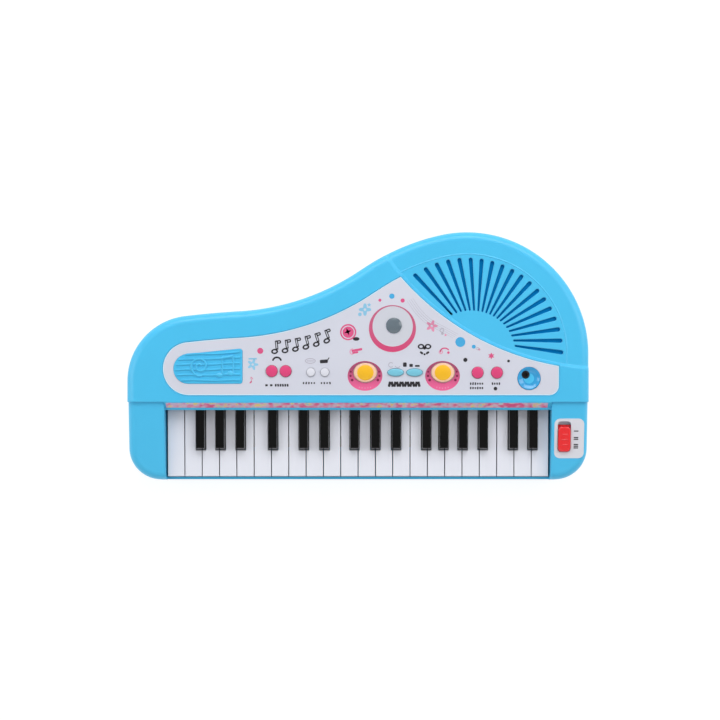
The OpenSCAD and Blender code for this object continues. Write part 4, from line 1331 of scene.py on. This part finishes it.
def build_insides():
    refined("feet", "rubber_feet", RUBBER, CASING, bevel=0.5, segments=3)
    refined("speaker", "loudspeaker", PAPER, CASING)
    refined("screws", "casing_screws", STEEL, CASING)
    refined("circuit_boards", "boards", BOARD, CASING, bevel=0.15)
    refined("batteries", "cells", CELL, CASING, bevel=0.4,
            where=lambda e: e.calc_length() < 40 * MM)
    build_cell_springs()
    for name, material, route in WIRES:
        make_mesh(name, [tube(smooth_path(route), WIRE_R)], material, CASING)


def build_cell_springs():
    """A contact plate and a conical spring at one end of each cell, at the left and right by turns."""
    lo, hi = corners("batteries")
    z = (lo[2] + hi[2]) / 2
    parts = []
    for k in range(4):
        y = CELL_PITCH * k
        end, side = (lo[0] - 0.4, 1) if k % 2 == 0 else (hi[0] + 0.4, -1)
        plate_x = end - side * 2.6
        parts.append(box_part((plate_x - 0.4, y - 5, z - 6), (plate_x + 0.4, y + 5, z + 6)))
        coil = []
        for t in np.linspace(0, 2 * math.pi * COIL_TURNS, 40):
            r = COIL_R - 0.25 * t / math.pi
            along = side * COIL_LENGTH * (t / (2 * math.pi * COIL_TURNS) - 1)
            coil.append((end + along, y + r * math.cos(t), z + r * math.sin(t)))
        parts.append(tube(coil, 0.35, 8))
    make_mesh("cell_springs", parts, BRASS, CASING)


# ---- floor, light and camera

def build_stage():
    floor_mesh = bpy.data.meshes.new("floor")
    size, z = 3.0, -0.0003
    floor_mesh.from_pydata([(-size, -size, z), (size, -size, z), (size, size, z), (-size, size, z)],
                           [], [(0, 1, 2, 3)])
    material, nodes, links, shader = new_material("pale_floor", {
        "Roughness": 0.9, "Specular IOR Level": 0.1, "Emission Color": (1, 1, 1, 1),
        "Emission Strength": 0.86})
    mottle = link_noise(nodes, links, 6)
    tint = ramp_from(nodes, links, mottle.outputs["Fac"], (0.2, 0.2, 0.2), (0.22, 0.22, 0.22))
    links.new(tint.outputs["Color"], shader.inputs["Base Color"])
    floor_mesh.materials.append(material)
    floor = bpy.data.objects.new("floor", floor_mesh)
    bpy.context.scene.collection.objects.link(floor)


def area_light(name, at, size, watts):
    """A soft rectangle that looks at the origin."""
    lamp = bpy.data.lights.new(name, "AREA")
    lamp.shape = "RECTANGLE"
    lamp.size, lamp.size_y = size
    lamp.energy = watts
    holder = bpy.data.objects.new(name, lamp)
    holder.location = at
    holder.rotation_euler = (-Vector(at)).to_track_quat("-Z", "Y").to_euler()
    bpy.context.scene.collection.objects.link(holder)


def build_light_and_camera():
    world = bpy.data.worlds.new("studio")
    world.use_nodes = True
    nodes, links = world.node_tree.nodes, world.node_tree.links
    coords = nodes.new("ShaderNodeTexCoord")
    axes = nodes.new("ShaderNodeSeparateXYZ")
    links.new(coords.outputs["Generated"], axes.inputs["Vector"])
    sky = ramp_from(nodes, links, axes.outputs["Z"], (1.0, 1.0, 1.0), (0.43, 0.43, 0.43), (0.10, 0.40))
    links.new(sky.outputs["Color"], nodes["Background"].inputs["Color"])
    nodes["Background"].inputs["Strength"].default_value = 1.0
    bpy.context.scene.world = world
    area_light("rear_light", (0.1, 1.0, 0.95), (1.8, 0.6), 12.5)
    area_light("front_light", (0.0, -0.8, 1.1), (1.4, 0.6), 1.5)
    area_light("left_light", (-1.1, 0.1, 0.8), (0.5, 1.0), 4)
    area_light("right_light", (1.1, 0.3, 0.9), (0.5, 1.0), 4)
    camera_data = bpy.data.cameras.new("camera")
    camera_data.lens = 83.2
    camera_data.sensor_width = 36.0
    camera = bpy.data.objects.new("camera", camera_data)
    camera.location = (0.0017, -0.0030, 1.484)
    bpy.context.scene.collection.objects.link(camera)
    bpy.context.scene.camera = camera
    bpy.context.scene.view_settings.view_transform = "Standard"


build_light_and_camera()
build_stage()
build_casing()
build_emblem()
build_panel()
build_prints()
build_buttons()
build_knob()
build_switch_label()
build_strip()
build_lens()
build_jack()
build_keys()
build_domes()
build_insides()

bpy.context.view_layer.update()
